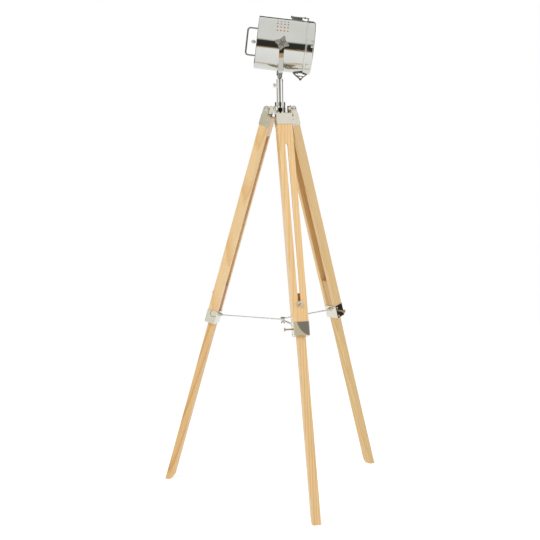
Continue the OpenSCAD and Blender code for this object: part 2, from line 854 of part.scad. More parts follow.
module rear_plate() {
    r = drum_r - drum_wall - seat_gap;
    rim = 10;
    color(chrome)
        on_head()
            difference() {
                x_turned([[0, -drum_back], [r, -drum_back], [r, rim - drum_back],
                    [r - drum_wall, rim - drum_back], [r - drum_wall, drum_wall - drum_back],
                    [0, drum_wall - drum_back]]);
                x_rod(rear_stud_d + 2 * run_gap, -drum_back - past, 0);
                translate([0, 0, -grommet_down])
                    x_rod(lead_hole_d + 4, -drum_back - past, -drum_back + 2 * past + drum_wall);
                for (z = [-handle_h / 2, handle_h / 2])
                    translate([0, 0, z])
                        x_rod(handle_rod_d - 1, -drum_back - past, -drum_back + 2 * past + drum_wall);
            }
}

module rear_handle() {
    x0 = -drum_back - seat_gap;
    x1 = -drum_back - handle_out;
    z1 = handle_h / 2;
    color(chrome)
        on_head() {
            for (z = [-z1, z1])
                translate([0, 0, z]) {
                    x_rod(handle_rod_d, x1 + handle_bend, x0);
                    x_rod(handle_rod_d - 1 - 2 * run_gap, x0 - past, x0 + 4);
                }
            translate([x1, 0, -z1 + handle_bend])
                cylinder(d = handle_rod_d, h = handle_h - 2 * handle_bend);
            for (side = [-1, 1])
                translate([x1 + handle_bend, 0, side * (z1 - handle_bend)])
                    handle_corner(side);
        }
}

// A quarter of a ring, from the grip round to an arm of the handle
module handle_corner(side) {
    rotate([90, 0, 0])
        rotate([0, 0, side > 0 ? 90 : 180])
            rotate_extrude(angle = 90)
                translate([handle_bend, 0])
                    circle(d = handle_rod_d, $fn = 32);
}

module rear_knob() {
    neck_r = 3;
    ball_x = -drum_back - 9.5;
    r = ball_d / 2;
    color(chrome)
        on_head()
            x_turned(concat([[0, -r + ball_x]], arc_points(0, ball_x, r, -80, 60, 16),
                [[neck_r, -drum_back - knob_gap], [rear_stud_d / 2, -drum_back - knob_gap],
                    [rear_stud_d / 2, -drum_back + 18],
                    [0, -drum_back + 18]]));
}

module cable_grommet() {
    r = lead_hole_d / 2;
    x0 = -drum_back - 1.5;
    x1 = -drum_back + drum_wall + 1.5;
    color("#2a2a2a")
        on_head()
            translate([0, 0, -grommet_down])
                x_turned([[r, x0], [r + 4, x0], [r + 4, -drum_back - seat_gap],
                    [r + 1.9, -drum_back - seat_gap],
                    [r + 1.9, -drum_back + drum_wall + seat_gap], [r + 4, -drum_back + drum_wall + seat_gap],
                    [r + 4, x1], [r, x1]]);
}

// A hat-shaped strap that carries the lampholder off the rear plate
module lampholder_bracket() {
    t = 1.5;
    x0 = drum_wall - drum_back + seat_gap;
    x1 = x0 + 15;
    color("#a9abaa")
        on_head()
            difference() {
                y_plate(-9, 9)
                    union() {
                        translate([x1 - t, -22])
                            square([t, 44]);
                        for (z = [-22, 22 - t])
                            translate([x0, z])
                                square([x1 - x0, t]);
                        for (z = [-32, 22 - t])
                            translate([x0, z])
                                square([t, 10 + t]);
                    }
                x_rod(rear_stud_d + 2 * run_gap, x0, x1 + past);
            }
}

module lampholder() {
    x0 = drum_wall - drum_back + 15 + 2 * seat_gap;
    x1 = x0 + 46;
    r = holder_d / 2;
    color("#1f1f20")
        on_head()
            x_turned([[4, x0], [r - 3, x0], [r, x0 + 12], [r, x1 - 6], [r - 2, x1 - 6], [r - 2, x1],
                [13.6, x1], [13.6, x0 + 18], [4, x0 + 18]]);
}

module bulb() {
    x0 = drum_wall - drum_back + 15 + 22;
    cap_r = 13.3;
    r = bulb_d / 2;
    mid = x0 + 58;
    color("#f4f1e6")
        on_head()
            x_turned(concat([[0, x0], [5, x0], [cap_r, x0 + 4], [cap_r, x0 + 26], [15, x0 + 28]],
                arc_points(0, mid, r, -50, 90, 20)));
}

// A spun bowl with a flat rim
module reflector() {
    t = 1;
    rim_r = drum_r - drum_wall - seat_gap;
    flare = rim_r - reflector_rim - reflector_neck;
    x1 = drum_fore - reflector_back;
    x0 = x1 - t - reflector_len;
    color("#b6763f")
        on_head()
            x_turned(concat(
                [for (k = [0 : 12]) let (u = k / 12)
                    [reflector_neck + flare * sqrt(u), x0 + reflector_len * u]],
                [[rim_r, x1 - t], [rim_r, x1]],
                [for (k = [12 : -1 : 0]) let (u = k / 12)
                    [reflector_neck - t + flare * sqrt(u), x0 + (reflector_len + t) * u]]));
}

module tilt_bolts() {
    inner = drum_r - drum_wall - seat_gap;
    color(chrome)
        on_head()
            for (side = [0, 1])
                mirror([0, side, 0]) {
                    y_rod(tilt_bolt_d, inner - past, arm_out + star_t - 1);
                    y_rod(tilt_bolt_d + 6, inner - 3.5, inner - 0.8);
                }
}

module tilt_washers() {
    color("#4b4b4b")
        on_head()
            for (side = [0, 1])
                mirror([0, side, 0])
                    difference() {
                        y_rod(strap_w + 2, drum_r + seat_gap, arm_in - seat_gap);
                        y_rod(tilt_bolt_d + 2 * run_gap, drum_r - past, arm_in + past);
                    }
}

// A cast knob with four points and hollow sides
module star_knob(side) {
    cut_r = 24;
    y0 = arm_out + knob_gap;
    color("#8d8b86")
        on_head()
            mirror([0, side > 0 ? 0 : 1, 0])
                difference() {
                    union() {
                        y_plate(y0 + 3, y0 + star_t)
                            rotate(star_turn)
                                difference() {
                                    rotate(45)
                                        square(star_r * sqrt(2), center = true);
                                    for (a = [45 : 90 : 315])
                                        rotate(a)
                                            translate([star_waist + cut_r, 0])
                                                circle(cut_r);
                                }
                        y_rod(16, y0, y0 + 4);
                    }
                    y_rod(tilt_bolt_d + 2 * run_gap, y0 - past, arm_out + star_t - 0.5);
                }
}

// ---- door, hinge and latch ----

module door_ring() {
    r = drum_r;
    w = drum_wall;
    edge = door_edge_r;
    bead_x = lens_seat_x;
    color(chrome)
        on_head()
            difference() {
                x_turned(concat([[r - w, door_x], [r, door_x]],
                    arc_points(r - edge, door_end - edge, edge, 0, 90, 5),
                    [[r - door_lip, door_end], [r - door_lip, door_end - w], [r - edge, door_end - w]],
                    arc_points(r - edge, door_end - edge, edge - w, 80, 0, 4),
                    [[r - w, bead_x], [r - bead_depth, bead_x], [r - bead_depth, bead_x - w],
                        [r - w, bead_x - w]]));
                translate([lens_screw_x, 0, 0])
                    y_rod(screw_d + 2 * run_gap, -drum_d, drum_d);
            }
}

module lens() {
    x0 = lens_seat_x + seat_gap;
    color("#dfe9ea", 0.4)
        on_head()
            x_turned([[0, x0], [drum_r - drum_wall - 0.2, x0], [drum_r - drum_wall - 0.2, x0 + lens_t],
                [0, x0 + lens_t]]);
}

module lens_screws() {
    color(chrome)
        on_head()
            translate([lens_screw_x, 0, 0])
                for (side = [0, 1])
                    mirror([0, side, 0]) {
                        y_rod(screw_d, drum_r - 8, drum_r + 1);
                        y_rod(6, drum_r + seat_gap, drum_r + 2);
                    }
}

// A pad that follows the drum's surface, from x0 to x1 and w wide, under (-1) or on top (1)
module drum_pad(x0, x1, w, thick, side) {
    r = drum_r + seat_gap;
    intersection() {
        difference() {
            x_rod(2 * (r + thick), x0, x1);
            x_rod(2 * r, x0 - past, x1 + past);
        }
        block([x0 - past, -w / 2, side > 0 ? 0 : -drum_d], [x1 + past, w / 2, side > 0 ? drum_d : 0]);
    }
}

// A straight strut between two points, in the X-Z plane
module strut(p, q, t) {
    d = q - p;
    l = norm(d);
    n = [-d[1], d[0]] / l * t / 2;
    polygon([p + n, q + n, q - n, p - n]);
}

module hinge_body_leaf() {
    t = 3;
    foot_x = drum_fore - 23;
    foot_z = -drum_r - 1.2;
    bar_z = -drum_r - 8;
    half = 12;
    mid = 5;
    color(dark_steel)
        on_head() {
            difference() {
                union() {
                    drum_pad(foot_x - 2, foot_x + 14, 2 * half, 1.5, -1);
                    for (y = [-half, mid])
                        y_plate(y, y + half - mid) {
                            strut([foot_x, foot_z], [hinge_x, hinge_z], t);
                            translate([foot_x + 9, bar_z - 1])
                                square([hinge_x - foot_x - 9.8, 2.4]);
                            translate([hinge_x, hinge_z])
                                circle(hinge_knuckle_r);
                        }
                }
                translate([hinge_x, 0, hinge_z])
                    y_rod(hinge_pin_d + 2 * run_gap, -drum_d, drum_d);
            }
            translate([hinge_x, 0, hinge_z])
                y_rod(hinge_pin_d, -half - 1.5, half + 1.5);
        }
}

module hinge_door_leaf() {
    t = 3;
    foot_x = door_x + 15.5;
    foot_z = -drum_r - 1.2;
    bar_z = -drum_r - 8;
    half = 4.7;
    color(dark_steel)
        on_head()
            difference() {
                union() {
                    drum_pad(foot_x - 11, foot_x + 3, 20, 1.5, -1);
                    y_plate(-half, half) {
                        strut([foot_x, foot_z], [hinge_x, hinge_z], t);
                        translate([hinge_x + 0.8, bar_z - 1])
                            square([6, 2.4]);
                        translate([hinge_x, hinge_z])
                            circle(hinge_knuckle_r);
                    }
                }
                translate([hinge_x, 0, hinge_z])
                    y_rod(hinge_pin_d + 2 * run_gap, -drum_d, drum_d);
            }
}

module latch_base() {
    cheek_in = 4.3;
    cheek_t = 1.5;
    r = 4;
    color("#6d746e")
        on_head() {
            difference() {
                union() {
                    drum_pad(latch_x - 16, latch_x + 12, 18, 1.2, 1);
                    for (y = [-cheek_in - cheek_t, cheek_in])
                        y_plate(y, y + cheek_t) {
                            translate([latch_x - r, drum_r + 0.8])
                                square([2 * r, latch_up - 0.8]);
                            translate([latch_x, latch_z])
                                circle(r);
                        }
                }
                translate([latch_x, 0, latch_z])
                    y_rod(2.5 + 2 * run_gap, -20, 20);
            }
            translate([latch_x, 0, latch_z])
                y_rod(2.5, -cheek_in - cheek_t - 0.6, cheek_in + cheek_t + 0.6);
        }
}

module latch_lever() {
    half = 4;
    lever_l = 30;
    color("#5e655f")
        on_head()
            translate([latch_x, 0, latch_z])
                difference() {
                    y_plate(-half, half)
                        union() {
                            circle(3.4);
                            translate([-lever_l + 4, 0.6])
                                square([lever_l - 4, 2.8]);
                            translate([-bail_dx, bail_dz])
                                circle(3);
                            translate([-lever_l, -2.6])
                                square([8, 7.4]);
                        }
                    y_rod(2.5 + 2 * run_gap, -20, 20);
                    translate([-bail_dx, 0, bail_dz])
                        y_rod(bail_wire + 2 * run_gap, -20, 20);
                }
}

// A wire loop from the lever's pin to the keeper
module latch_bail() {
    side_y = 7.6;
    color("#9aa09b")
        on_head()
            translate([latch_x - bail_dx, 0, latch_z + bail_dz]) {
                y_rod(bail_wire, -side_y, side_y);
                for (y = [-side_y, side_y])
                    translate([0, y, 0]) {
                        x_rod(bail_wire, 0, bail_reach);
                        for (x = [0, bail_reach])
                            translate([x, 0, 0])
                                sphere(d = bail_wire, $fn = 24);
                    }
                translate([bail_reach, 0, 0])
                    y_rod(bail_wire, -side_y, side_y);
            }
}

module latch_keeper() {
    color("#6d746e")
        on_head() {
            drum_pad(door_x + 0.4, door_x + 12, 14, 1.2, 1);
            block([keeper_x, -5, drum_r + 0.8],
                [keeper_x + 2, 5, latch_z + bail_dz - bail_wire / 2 - knob_gap]);
        }
}

hub();
leg_pivot_bolts();
stem_tube();
stem_collar();
collar_screws();
stem_bush();
stem_thumbscrew();
upper_leg(1);  // upper_leg_1
upper_leg(2);  // upper_leg_2
upper_leg(3);  // upper_leg_3
leg_bracket(1);  // leg_bracket_1
leg_bracket(2);  // leg_bracket_2
leg_bracket(3);  // leg_bracket_3
leg_clamp(1);  // leg_clamp_1
leg_clamp(2);  // leg_clamp_2
leg_clamp(3);  // leg_clamp_3
leg_fasteners(1);  // leg_fasteners_1
leg_fasteners(2);  // leg_fasteners_2
leg_fasteners(3);  // leg_fasteners_3
side_thumbscrew(1);  // side_thumbscrew_1
side_thumbscrew(2);  // side_thumbscrew_2
side_thumbscrew(3);  // side_thumbscrew_3
lower_leg(1);  // lower_leg_1
lower_leg(2);  // lower_leg_2
lower_leg(3);  // lower_leg_3
slot_bolt(1);  // slot_bolt_1
slot_bolt(2);  // slot_bolt_2
slot_bolt(3);  // slot_bolt_3
slot_knob(1);  // slot_knob_1
slot_knob(2);  // slot_knob_2
slot_knob(3);  // slot_knob_3
brace_arm(1);  // brace_arm_1
brace_arm(2);  // brace_arm_2
brace_arm(3);  // brace_arm_3
brace_cap();
brace_wing_nut();
yoke();
yoke_spigot();
drum_shell();
rear_plate();
rear_handle();
rear_knob();
cable_grommet();
lampholder_bracket();
lampholder();
bulb();
reflector();
tilt_bolts();
tilt_washers();
star_knob(-1);  // star_knob_near
star_knob(1);  // star_knob_far
hinge_body_leaf();
latch_base();
latch_lever();
latch_bail();
door_ring();
lens();
lens_screws();
hinge_door_leaf();
latch_keeper();
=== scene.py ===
# %% [markdown]
# # A tripod spotlight floor lamp
# This lesson dresses a lamp whose solids already exist: a chrome drum head on a stem, carried by
# three sliding wooden legs. The solids come in as a fixed frame, in metres, with the floor at z = 0.
# Each step says what the thing is on the real lamp, how it could be made and why this way was chosen.
# The order is: camera, helpers, room and light, finishes, then the finer pieces as formulas.

# %% Load the frame
import math

import bpy
import numpy as np
from mathutils import Euler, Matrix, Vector


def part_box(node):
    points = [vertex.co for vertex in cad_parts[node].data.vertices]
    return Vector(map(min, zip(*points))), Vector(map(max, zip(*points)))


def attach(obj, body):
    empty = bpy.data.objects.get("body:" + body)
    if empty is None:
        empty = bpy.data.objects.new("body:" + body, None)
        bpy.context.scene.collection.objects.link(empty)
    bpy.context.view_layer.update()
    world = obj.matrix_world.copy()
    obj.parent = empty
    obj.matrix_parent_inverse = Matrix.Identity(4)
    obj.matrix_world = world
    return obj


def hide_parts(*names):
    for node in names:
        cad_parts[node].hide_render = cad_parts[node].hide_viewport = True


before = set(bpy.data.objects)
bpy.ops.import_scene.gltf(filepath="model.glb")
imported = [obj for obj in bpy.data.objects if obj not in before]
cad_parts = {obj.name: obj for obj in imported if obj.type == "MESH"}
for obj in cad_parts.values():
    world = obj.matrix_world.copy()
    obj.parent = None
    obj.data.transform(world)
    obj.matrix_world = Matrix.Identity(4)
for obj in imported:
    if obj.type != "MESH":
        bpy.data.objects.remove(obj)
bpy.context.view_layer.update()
print("nodes:", len(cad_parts))

# %% [markdown]
# ## The camera
# The photograph was taken from a little under four metres away with a long lens, at the height of
# the legs' tops, so the upright lines stay nearly upright. The camera stands where the feet, the
# legs' pivots and the drum all fall on their places in the photograph. The picture was cropped
# off-centre, which the lens shift repeats.

# %% Place the camera
MM = 0.001
IMAGE_SIDE = 540
FOCAL_PIXELS = 1265.5
OPTICAL_CENTRE = (281.6, 222.9)
SENSOR_WIDTH = 36
camera_place = Vector((-0.1335, -3.8244, 1.1166))
camera_turn = math.radians(-2.0)
camera_pitch = math.radians(-4.501)
camera_roll = math.radians(-0.732)

camera_data = bpy.data.cameras.new("camera")
camera_data.sensor_width = SENSOR_WIDTH
camera_data.lens = FOCAL_PIXELS / IMAGE_SIDE * SENSOR_WIDTH
camera_data.shift_x = (IMAGE_SIDE / 2 - OPTICAL_CENTRE[0]) / IMAGE_SIDE
camera_data.shift_y = (OPTICAL_CENTRE[1] - IMAGE_SIDE / 2) / IMAGE_SIDE
camera = bpy.data.objects.new("camera", camera_data)
bpy.context.collection.objects.link(camera)
aim = Vector((math.cos(camera_pitch) * math.sin(-camera_turn),
              math.cos(camera_pitch) * math.cos(camera_turn), math.sin(camera_pitch)))
camera.rotation_mode = "QUATERNION"
camera.location = camera_place
level = aim.to_track_quat("-Z", "Y")
camera.rotation_quaternion = level @ Euler((0, 0, camera_roll)).to_quaternion()
bpy.context.scene.camera = camera
print("lens:", round(camera_data.lens, 2), "mm")

# %% [markdown]
# ## Nodes and colours
# Every finish is a small tree of shader nodes. One function adds any node, sets its options and
# fills its sockets, with a number or with a link. Colours are written as sRGB hex, the way a paint
# chart gives them, and one function turns them to the linear values that light is added in.

# %% Colour and node helpers
def linear(code, alpha=1.0):
    """Linear RGBA of an sRGB hex colour: each channel is divided by 255 and its gamma is undone."""
    channel = np.array([int(code[k:k + 2], 16) for k in (1, 3, 5)]) / 255
    value = np.where(channel <= 0.04045, channel / 12.92, ((channel + 0.055) / 1.055) ** 2.4)
    return (*(float(v) for v in value), alpha)


def add(tree, kind, sockets=None, **options):
    """Adds the shader node of this kind, sets its options, and sets or links its input sockets."""
    node = tree.nodes.new("ShaderNode" + kind)
    for name, value in options.items():
        setattr(node, name, value)
    for name, value in (sockets or {}).items():
        if isinstance(value, bpy.types.NodeSocket):
            tree.links.new(value, node.inputs[name])
        else:
            node.inputs[name].default_value = value
    return node


def ramp(tree, factor, *stops):
    """Adds a colour ramp over factor; each stop is a place from 0 to 1 and a linear colour."""
    node = add(tree, "ValToRGB", {"Fac": factor})
    elements = node.color_ramp.elements
    while len(elements) < len(stops):
        elements.new(0.5)
    for element, (place, colour) in zip(elements, stops):
        element.position = place
        element.color = colour
    return node.outputs["Color"]


def new_material(name):
    """An empty material with its node tree and its output, ready for a shader."""
    material = bpy.data.materials.new(name)
    material.use_nodes = True
    material.node_tree.nodes.clear()
    tree = material.node_tree
    return material, tree, add(tree, "OutputMaterial")


def principled(name, sockets):
    """A material with one principled shader; sockets is a function of the tree that fills it."""
    material, tree, output = new_material(name)
    shader = add(tree, "BsdfPrincipled", sockets(tree))
    tree.links.new(shader.outputs["BSDF"], output.inputs["Surface"])
    return material


print("helpers ready; mid grey is", round(linear("#808080")[0], 3))

# %% [markdown]
# ## The floor
# The lamp stands on a sheet of white studio paper. The paper glows a little, so that it reads white
# beside the white world, and its dull part keeps the soft shadow at the feet. Where the paper ends
# matters to the chrome: mirror rays that run past its front and left edges see the room instead.

# %% Lay the floor
SWEEP = ((-1.95, 2.6), (-3.2, 3.0))
PAPER_GLOW = 0.55


def studio_floor():
    """One white rectangle at z = 0, from left to right and from front to rear."""
    # Uncoated paper: even and without gloss. The glow stands for the light a studio throws on it.
    material, tree, output = new_material("white_paper_sweep")
    glow = add(tree, "Emission", {"Color": linear("#ffffff"), "Strength": PAPER_GLOW})
    paper = add(tree, "BsdfDiffuse", {"Color": linear("#d2d2d2"), "Roughness": 0.5})
    both = add(tree, "AddShader", {0: glow.outputs[0], 1: paper.outputs[0]})
    tree.links.new(both.outputs[0], output.inputs["Surface"])
    (left, right), (front, rear) = SWEEP
    corners = [(left, front, 0), (right, front, 0), (right, rear, 0), (left, rear, 0)]
    mesh = bpy.data.meshes.new("floor")
    mesh.from_pydata(corners, [], [(0, 1, 2, 3)])
    mesh.materials.append(material)
    floor = bpy.data.objects.new("floor", mesh)
    bpy.context.collection.objects.link(floor)


studio_floor()
print("paper, left to right and front to rear:", SWEEP)

# %% [markdown]
# ## What the chrome sees
# Chrome has no colour of its own: it shows the room. A studio keeps something dark beside the camera
# and beyond the paper, or polished metal would vanish against white. So the world is a drawn room
# for mirror rays, a plain level for the light on everything else, and white for the camera. The
# room is made of patches between two azimuths and two elevations, and of small discs round one
# direction. A patch's azimuth is 0 on the way to the camera and positive to the lamp's right.

# %% Patches and discs of the room
def band(tree, value, low, high, soft_low, soft_high):
    """A factor that is 1 between low and high and fades to 0 over soft_low and soft_high outside."""
    rise = add(tree, "MapRange", {"Value": value, "From Min": low - soft_low, "From Max": low},
               interpolation_type="SMOOTHSTEP")
    fall = add(tree, "MapRange", {"Value": value, "From Min": high, "From Max": high + soft_high,
                                  "To Min": 1.0, "To Max": 0.0}, interpolation_type="SMOOTHSTEP")
    both = add(tree, "Math", {0: rise.outputs[0], 1: fall.outputs[0]}, operation="MULTIPLY")
    return both.outputs[0]


def sky_patch(tree, azimuth, elevation, left, right, low, high, soft):
    """A factor for a patch of the room; soft is the fade at the sides, below and above it."""
    across = band(tree, azimuth, left, right, soft[0], soft[0])
    up = band(tree, elevation, low, high, soft[1], soft[2])
    return add(tree, "Math", {0: across, 1: up}, operation="MULTIPLY").outputs[0]


def disc(tree, direction, azimuth, elevation, radius, soft):
    """A factor for a round thing: 1 where the angle to its direction is under radius - soft."""
    a, e = math.radians(azimuth), math.radians(elevation)
    aim = (math.cos(e) * math.cos(a), math.cos(e) * math.sin(a), math.sin(e))
    along = add(tree, "VectorMath", {0: direction, 1: aim}, operation="DOT_PRODUCT")
    inner, outer = math.cos(math.radians(radius - soft)), math.cos(math.radians(radius))
    edge = add(tree, "MapRange", {"Value": along.outputs["Value"], "From Min": outer, "From Max": inner})
    return edge.outputs[0]


print("patches and discs ready")

# %% The room's walls
ROOM = "#fdfdfb"
WALLS = [
    # colour, left, right, low, high, and the fades at the sides, below and above, in degrees
    ("#faf9f3", -60, -22, -14, -4, (5, 3, 3)),  # a bright low wall on the left
    ("#dcd8cb", -60, -22, -4, 14, (5, 3, 6)),  # a greyer wall above it
    ("#ded5c0", 12, 44, 17, 29, (4, 3, 2)),  # a cream board high on the right
    ("#c9a884", -16, 20, -25, 3, (5, 2.5, 8)),  # tan boards round the camera
    ("#6a5a4b", -15, 18, -18, 3, (6, 2, 8)),  # the brown rim of the dark patch
    ("#3a3832", -14, 17, -16.5, 6, (7, 1.5, 11)),  # the dark patch round the camera
    ("#d9b08a", 0.5, 1.6, -16.12, -15.85, (0.15, 0.03, 0.05)),  # a tan strip, seen in the yoke
    ("#f4f2ec", 0.5, 1.6, -17.0, -16.05, (0.15, 0.2, 0.06)),  # a white strip under it
    ("#3a3431", 62, 118, -30, -5.5, (3, 1, 2)),  # a dark doorway, seen in the right clamp
]
# Behind the lamp: how far a ray has to lean that way, in radians, and the elevations, in degrees.
DIM_REAR, REAR_LEAN, REAR_RISE = "#2e2629", (0.35, 2.0, 0.3, 0.1), (0, 33, 3, 5)
ROUND_THINGS = [
    # colour, azimuth counted from the lamp's +x, elevation and radius, in degrees
    ("#8f8c88", -63.254, 24.11, 0.894),  # an umbrella, seen in the front clamp
    ("#918b74", -129.146, -8.539, 0.17),  # the rim of an oval, seen in the left clamp
    ("#fffdf2", -129.146, -8.539, 0.145),  # its bright middle
]
DISC_EDGE = 0.02
PLAIN_LEVEL = 0.62
print("walls:", len(WALLS), "round things:", len(ROUND_THINGS))


# %% Build the world
def studio_world():
    """The drawn room for mirror rays, the plain level for other rays and white for the camera."""
    world = bpy.data.worlds.new("studio")
    bpy.context.scene.world = world
    world.use_nodes = True
    tree = world.node_tree
    tree.nodes.clear()
    output = add(tree, "OutputWorld")
    direction = add(tree, "TexCoord").outputs["Generated"]
    part = add(tree, "SeparateXYZ", {"Vector": direction})
    back = add(tree, "Math", {0: part.outputs["Y"], 1: -1.0}, operation="MULTIPLY")
    turn = add(tree, "Math", {0: part.outputs["X"], 1: back.outputs[0]}, operation="ARCTAN2")
    azimuth = add(tree, "Math", {0: turn.outputs[0], 1: 180 / math.pi}, operation="MULTIPLY").outputs[0]
    rise = add(tree, "Math", {0: part.outputs["Z"]}, operation="ARCSINE")
    elevation = add(tree, "Math", {0: rise.outputs[0], 1: 180 / math.pi}, operation="MULTIPLY").outputs[0]

    room = linear(ROOM)
    for colour, left, right, low, high, soft in WALLS:
        mask = sky_patch(tree, azimuth, elevation, left, right, low, high, soft)
        room = add(tree, "Mix", {0: mask, 6: room, 7: linear(colour)}, data_type="RGBA").outputs[2]
    lean = add(tree, "Math", {0: part.outputs["Y"]}, operation="ARCSINE").outputs[0]
    rear = add(tree, "Math", {0: band(tree, lean, *REAR_LEAN), 1: band(tree, elevation, *REAR_RISE)},
               operation="MULTIPLY").outputs[0]
    room = add(tree, "Mix", {0: rear, 6: room, 7: linear(DIM_REAR)}, data_type="RGBA").outputs[2]
    for colour, turned, lifted, radius in ROUND_THINGS:
        mask = disc(tree, direction, turned, lifted, radius, DISC_EDGE)
        room = add(tree, "Mix", {0: mask, 6: room, 7: linear(colour)}, data_type="RGBA").outputs[2]

    mirror = add(tree, "Background", {"Color": room, "Strength": 1.0})
    plain = add(tree, "Background", {"Color": linear("#ffffff"), "Strength": PLAIN_LEVEL})
    white = add(tree, "Background", {"Color": linear("#ffffff"), "Strength": 1.0})
    path = add(tree, "LightPath")
    shiny = add(tree, "Math", {0: path.outputs["Is Glossy Ray"], 1: path.outputs["Is Transmission Ray"]},
                operation="MAXIMUM")
    unseen = add(tree, "MixShader", {0: shiny.outputs[0], 1: plain.outputs[0], 2: mirror.outputs[0]})
    seen = add(tree, "MixShader", {0: path.outputs["Is Camera Ray"], 1: unseen.outputs[0],
                                   2: white.outputs[0]})
    tree.links.new(seen.outputs[0], output.inputs["Surface"])


studio_world()
bpy.context.scene.view_settings.view_transform = "Standard"
print("world ready, plain level", PLAIN_LEVEL)

# %% [markdown]
# ## The lamps
# Two square soft boxes light the wood and the satin metals: a key from the upper left and a weaker
# fill from the right. Mirror rays don't see them, because the drawn room already has its lights.

# %% Hang the soft boxes
LAMP_AIM = (0, 0, 0.7)
BOX_SIDE = 2.0


def soft_box(name, place, power):
    """A square area lamp at place, aimed at the middle of the legs."""
    data = bpy.data.lights.new(name, "AREA")
    data.size = BOX_SIDE
    data.energy = power
    lamp = bpy.data.objects.new(name, data)
    lamp.location = place
    lamp.rotation_mode = "QUATERNION"
    lamp.rotation_quaternion = (Vector(LAMP_AIM) - Vector(place)).to_track_quat("-Z", "Y")
    lamp.visible_glossy = False
    bpy.context.collection.objects.link(lamp)


soft_box("key", (-2.2, -2.6, 3.2), 60)
soft_box("fill", (2.8, -1.6, 2.2), 24)
print("two soft boxes,", BOX_SIDE, "m wide")

# %% [markdown]
# ## Wood
# The legs are pine, sawn flat, planed and given a clear satin varnish. A board is a slice through
# the trunk's growth rings, so the rings can be modelled where they are: cylinders round a pith line
# that runs beside the board, a little out of line with it, which gives long arches on the wide
# faces. Each board has its own place in the trunk. Over that lie fine fibres along the board, a slow
# change of tone, and a clear coat. The bars that slide carry a painted shade: their upper ends, inside
# the rails where the channel lies in shadow, are painted browner, and their varnish is thinner.

# %% A leg's own frame
LEG_LEAN = math.radians(17)
FIRST_LEG = 41
PIVOT_RADIUS = 34.6 * MM
PIVOT_HEIGHT = 1.160


def leg_frame(number):
    """Place and turn of a leg's own frame: z runs up the leg and x points away from the stem."""
    azimuth = math.radians(FIRST_LEG + 120 * (number - 1))
    place = Vector((PIVOT_RADIUS * math.cos(azimuth), PIVOT_RADIUS * math.sin(azimuth), PIVOT_HEIGHT))
    return place, Euler((0, -LEG_LEAN, azimuth))


print("first leg's pivot:", [round(v, 4) for v in leg_frame(1)[0]])

# %% The wood's material
RING_SPACING = 6.5 * MM  # wide rings of fast-grown pine
FIBRE_SPACING = 1.6 * MM  # real fibres are under 0.1 mm: drawn coarser, or they wouldn't show
WAVE_RINGS = 20 / (2 * math.pi)  # rings that the wave texture draws in one unit at scale 1
PITH_TILT = (0.035, -0.028, 0)  # the pith line leans by two degrees against the board
PAINTED_SHADE_LINE = (-0.655, -0.640)  # the painted shade fades in here, in the leg's frame, hidden by the clamp
# The brown of the painted shade inside the rails, multiplied into the sliders' upper ends.
PAINTED_SHADE_BROWN = "#bd8850"


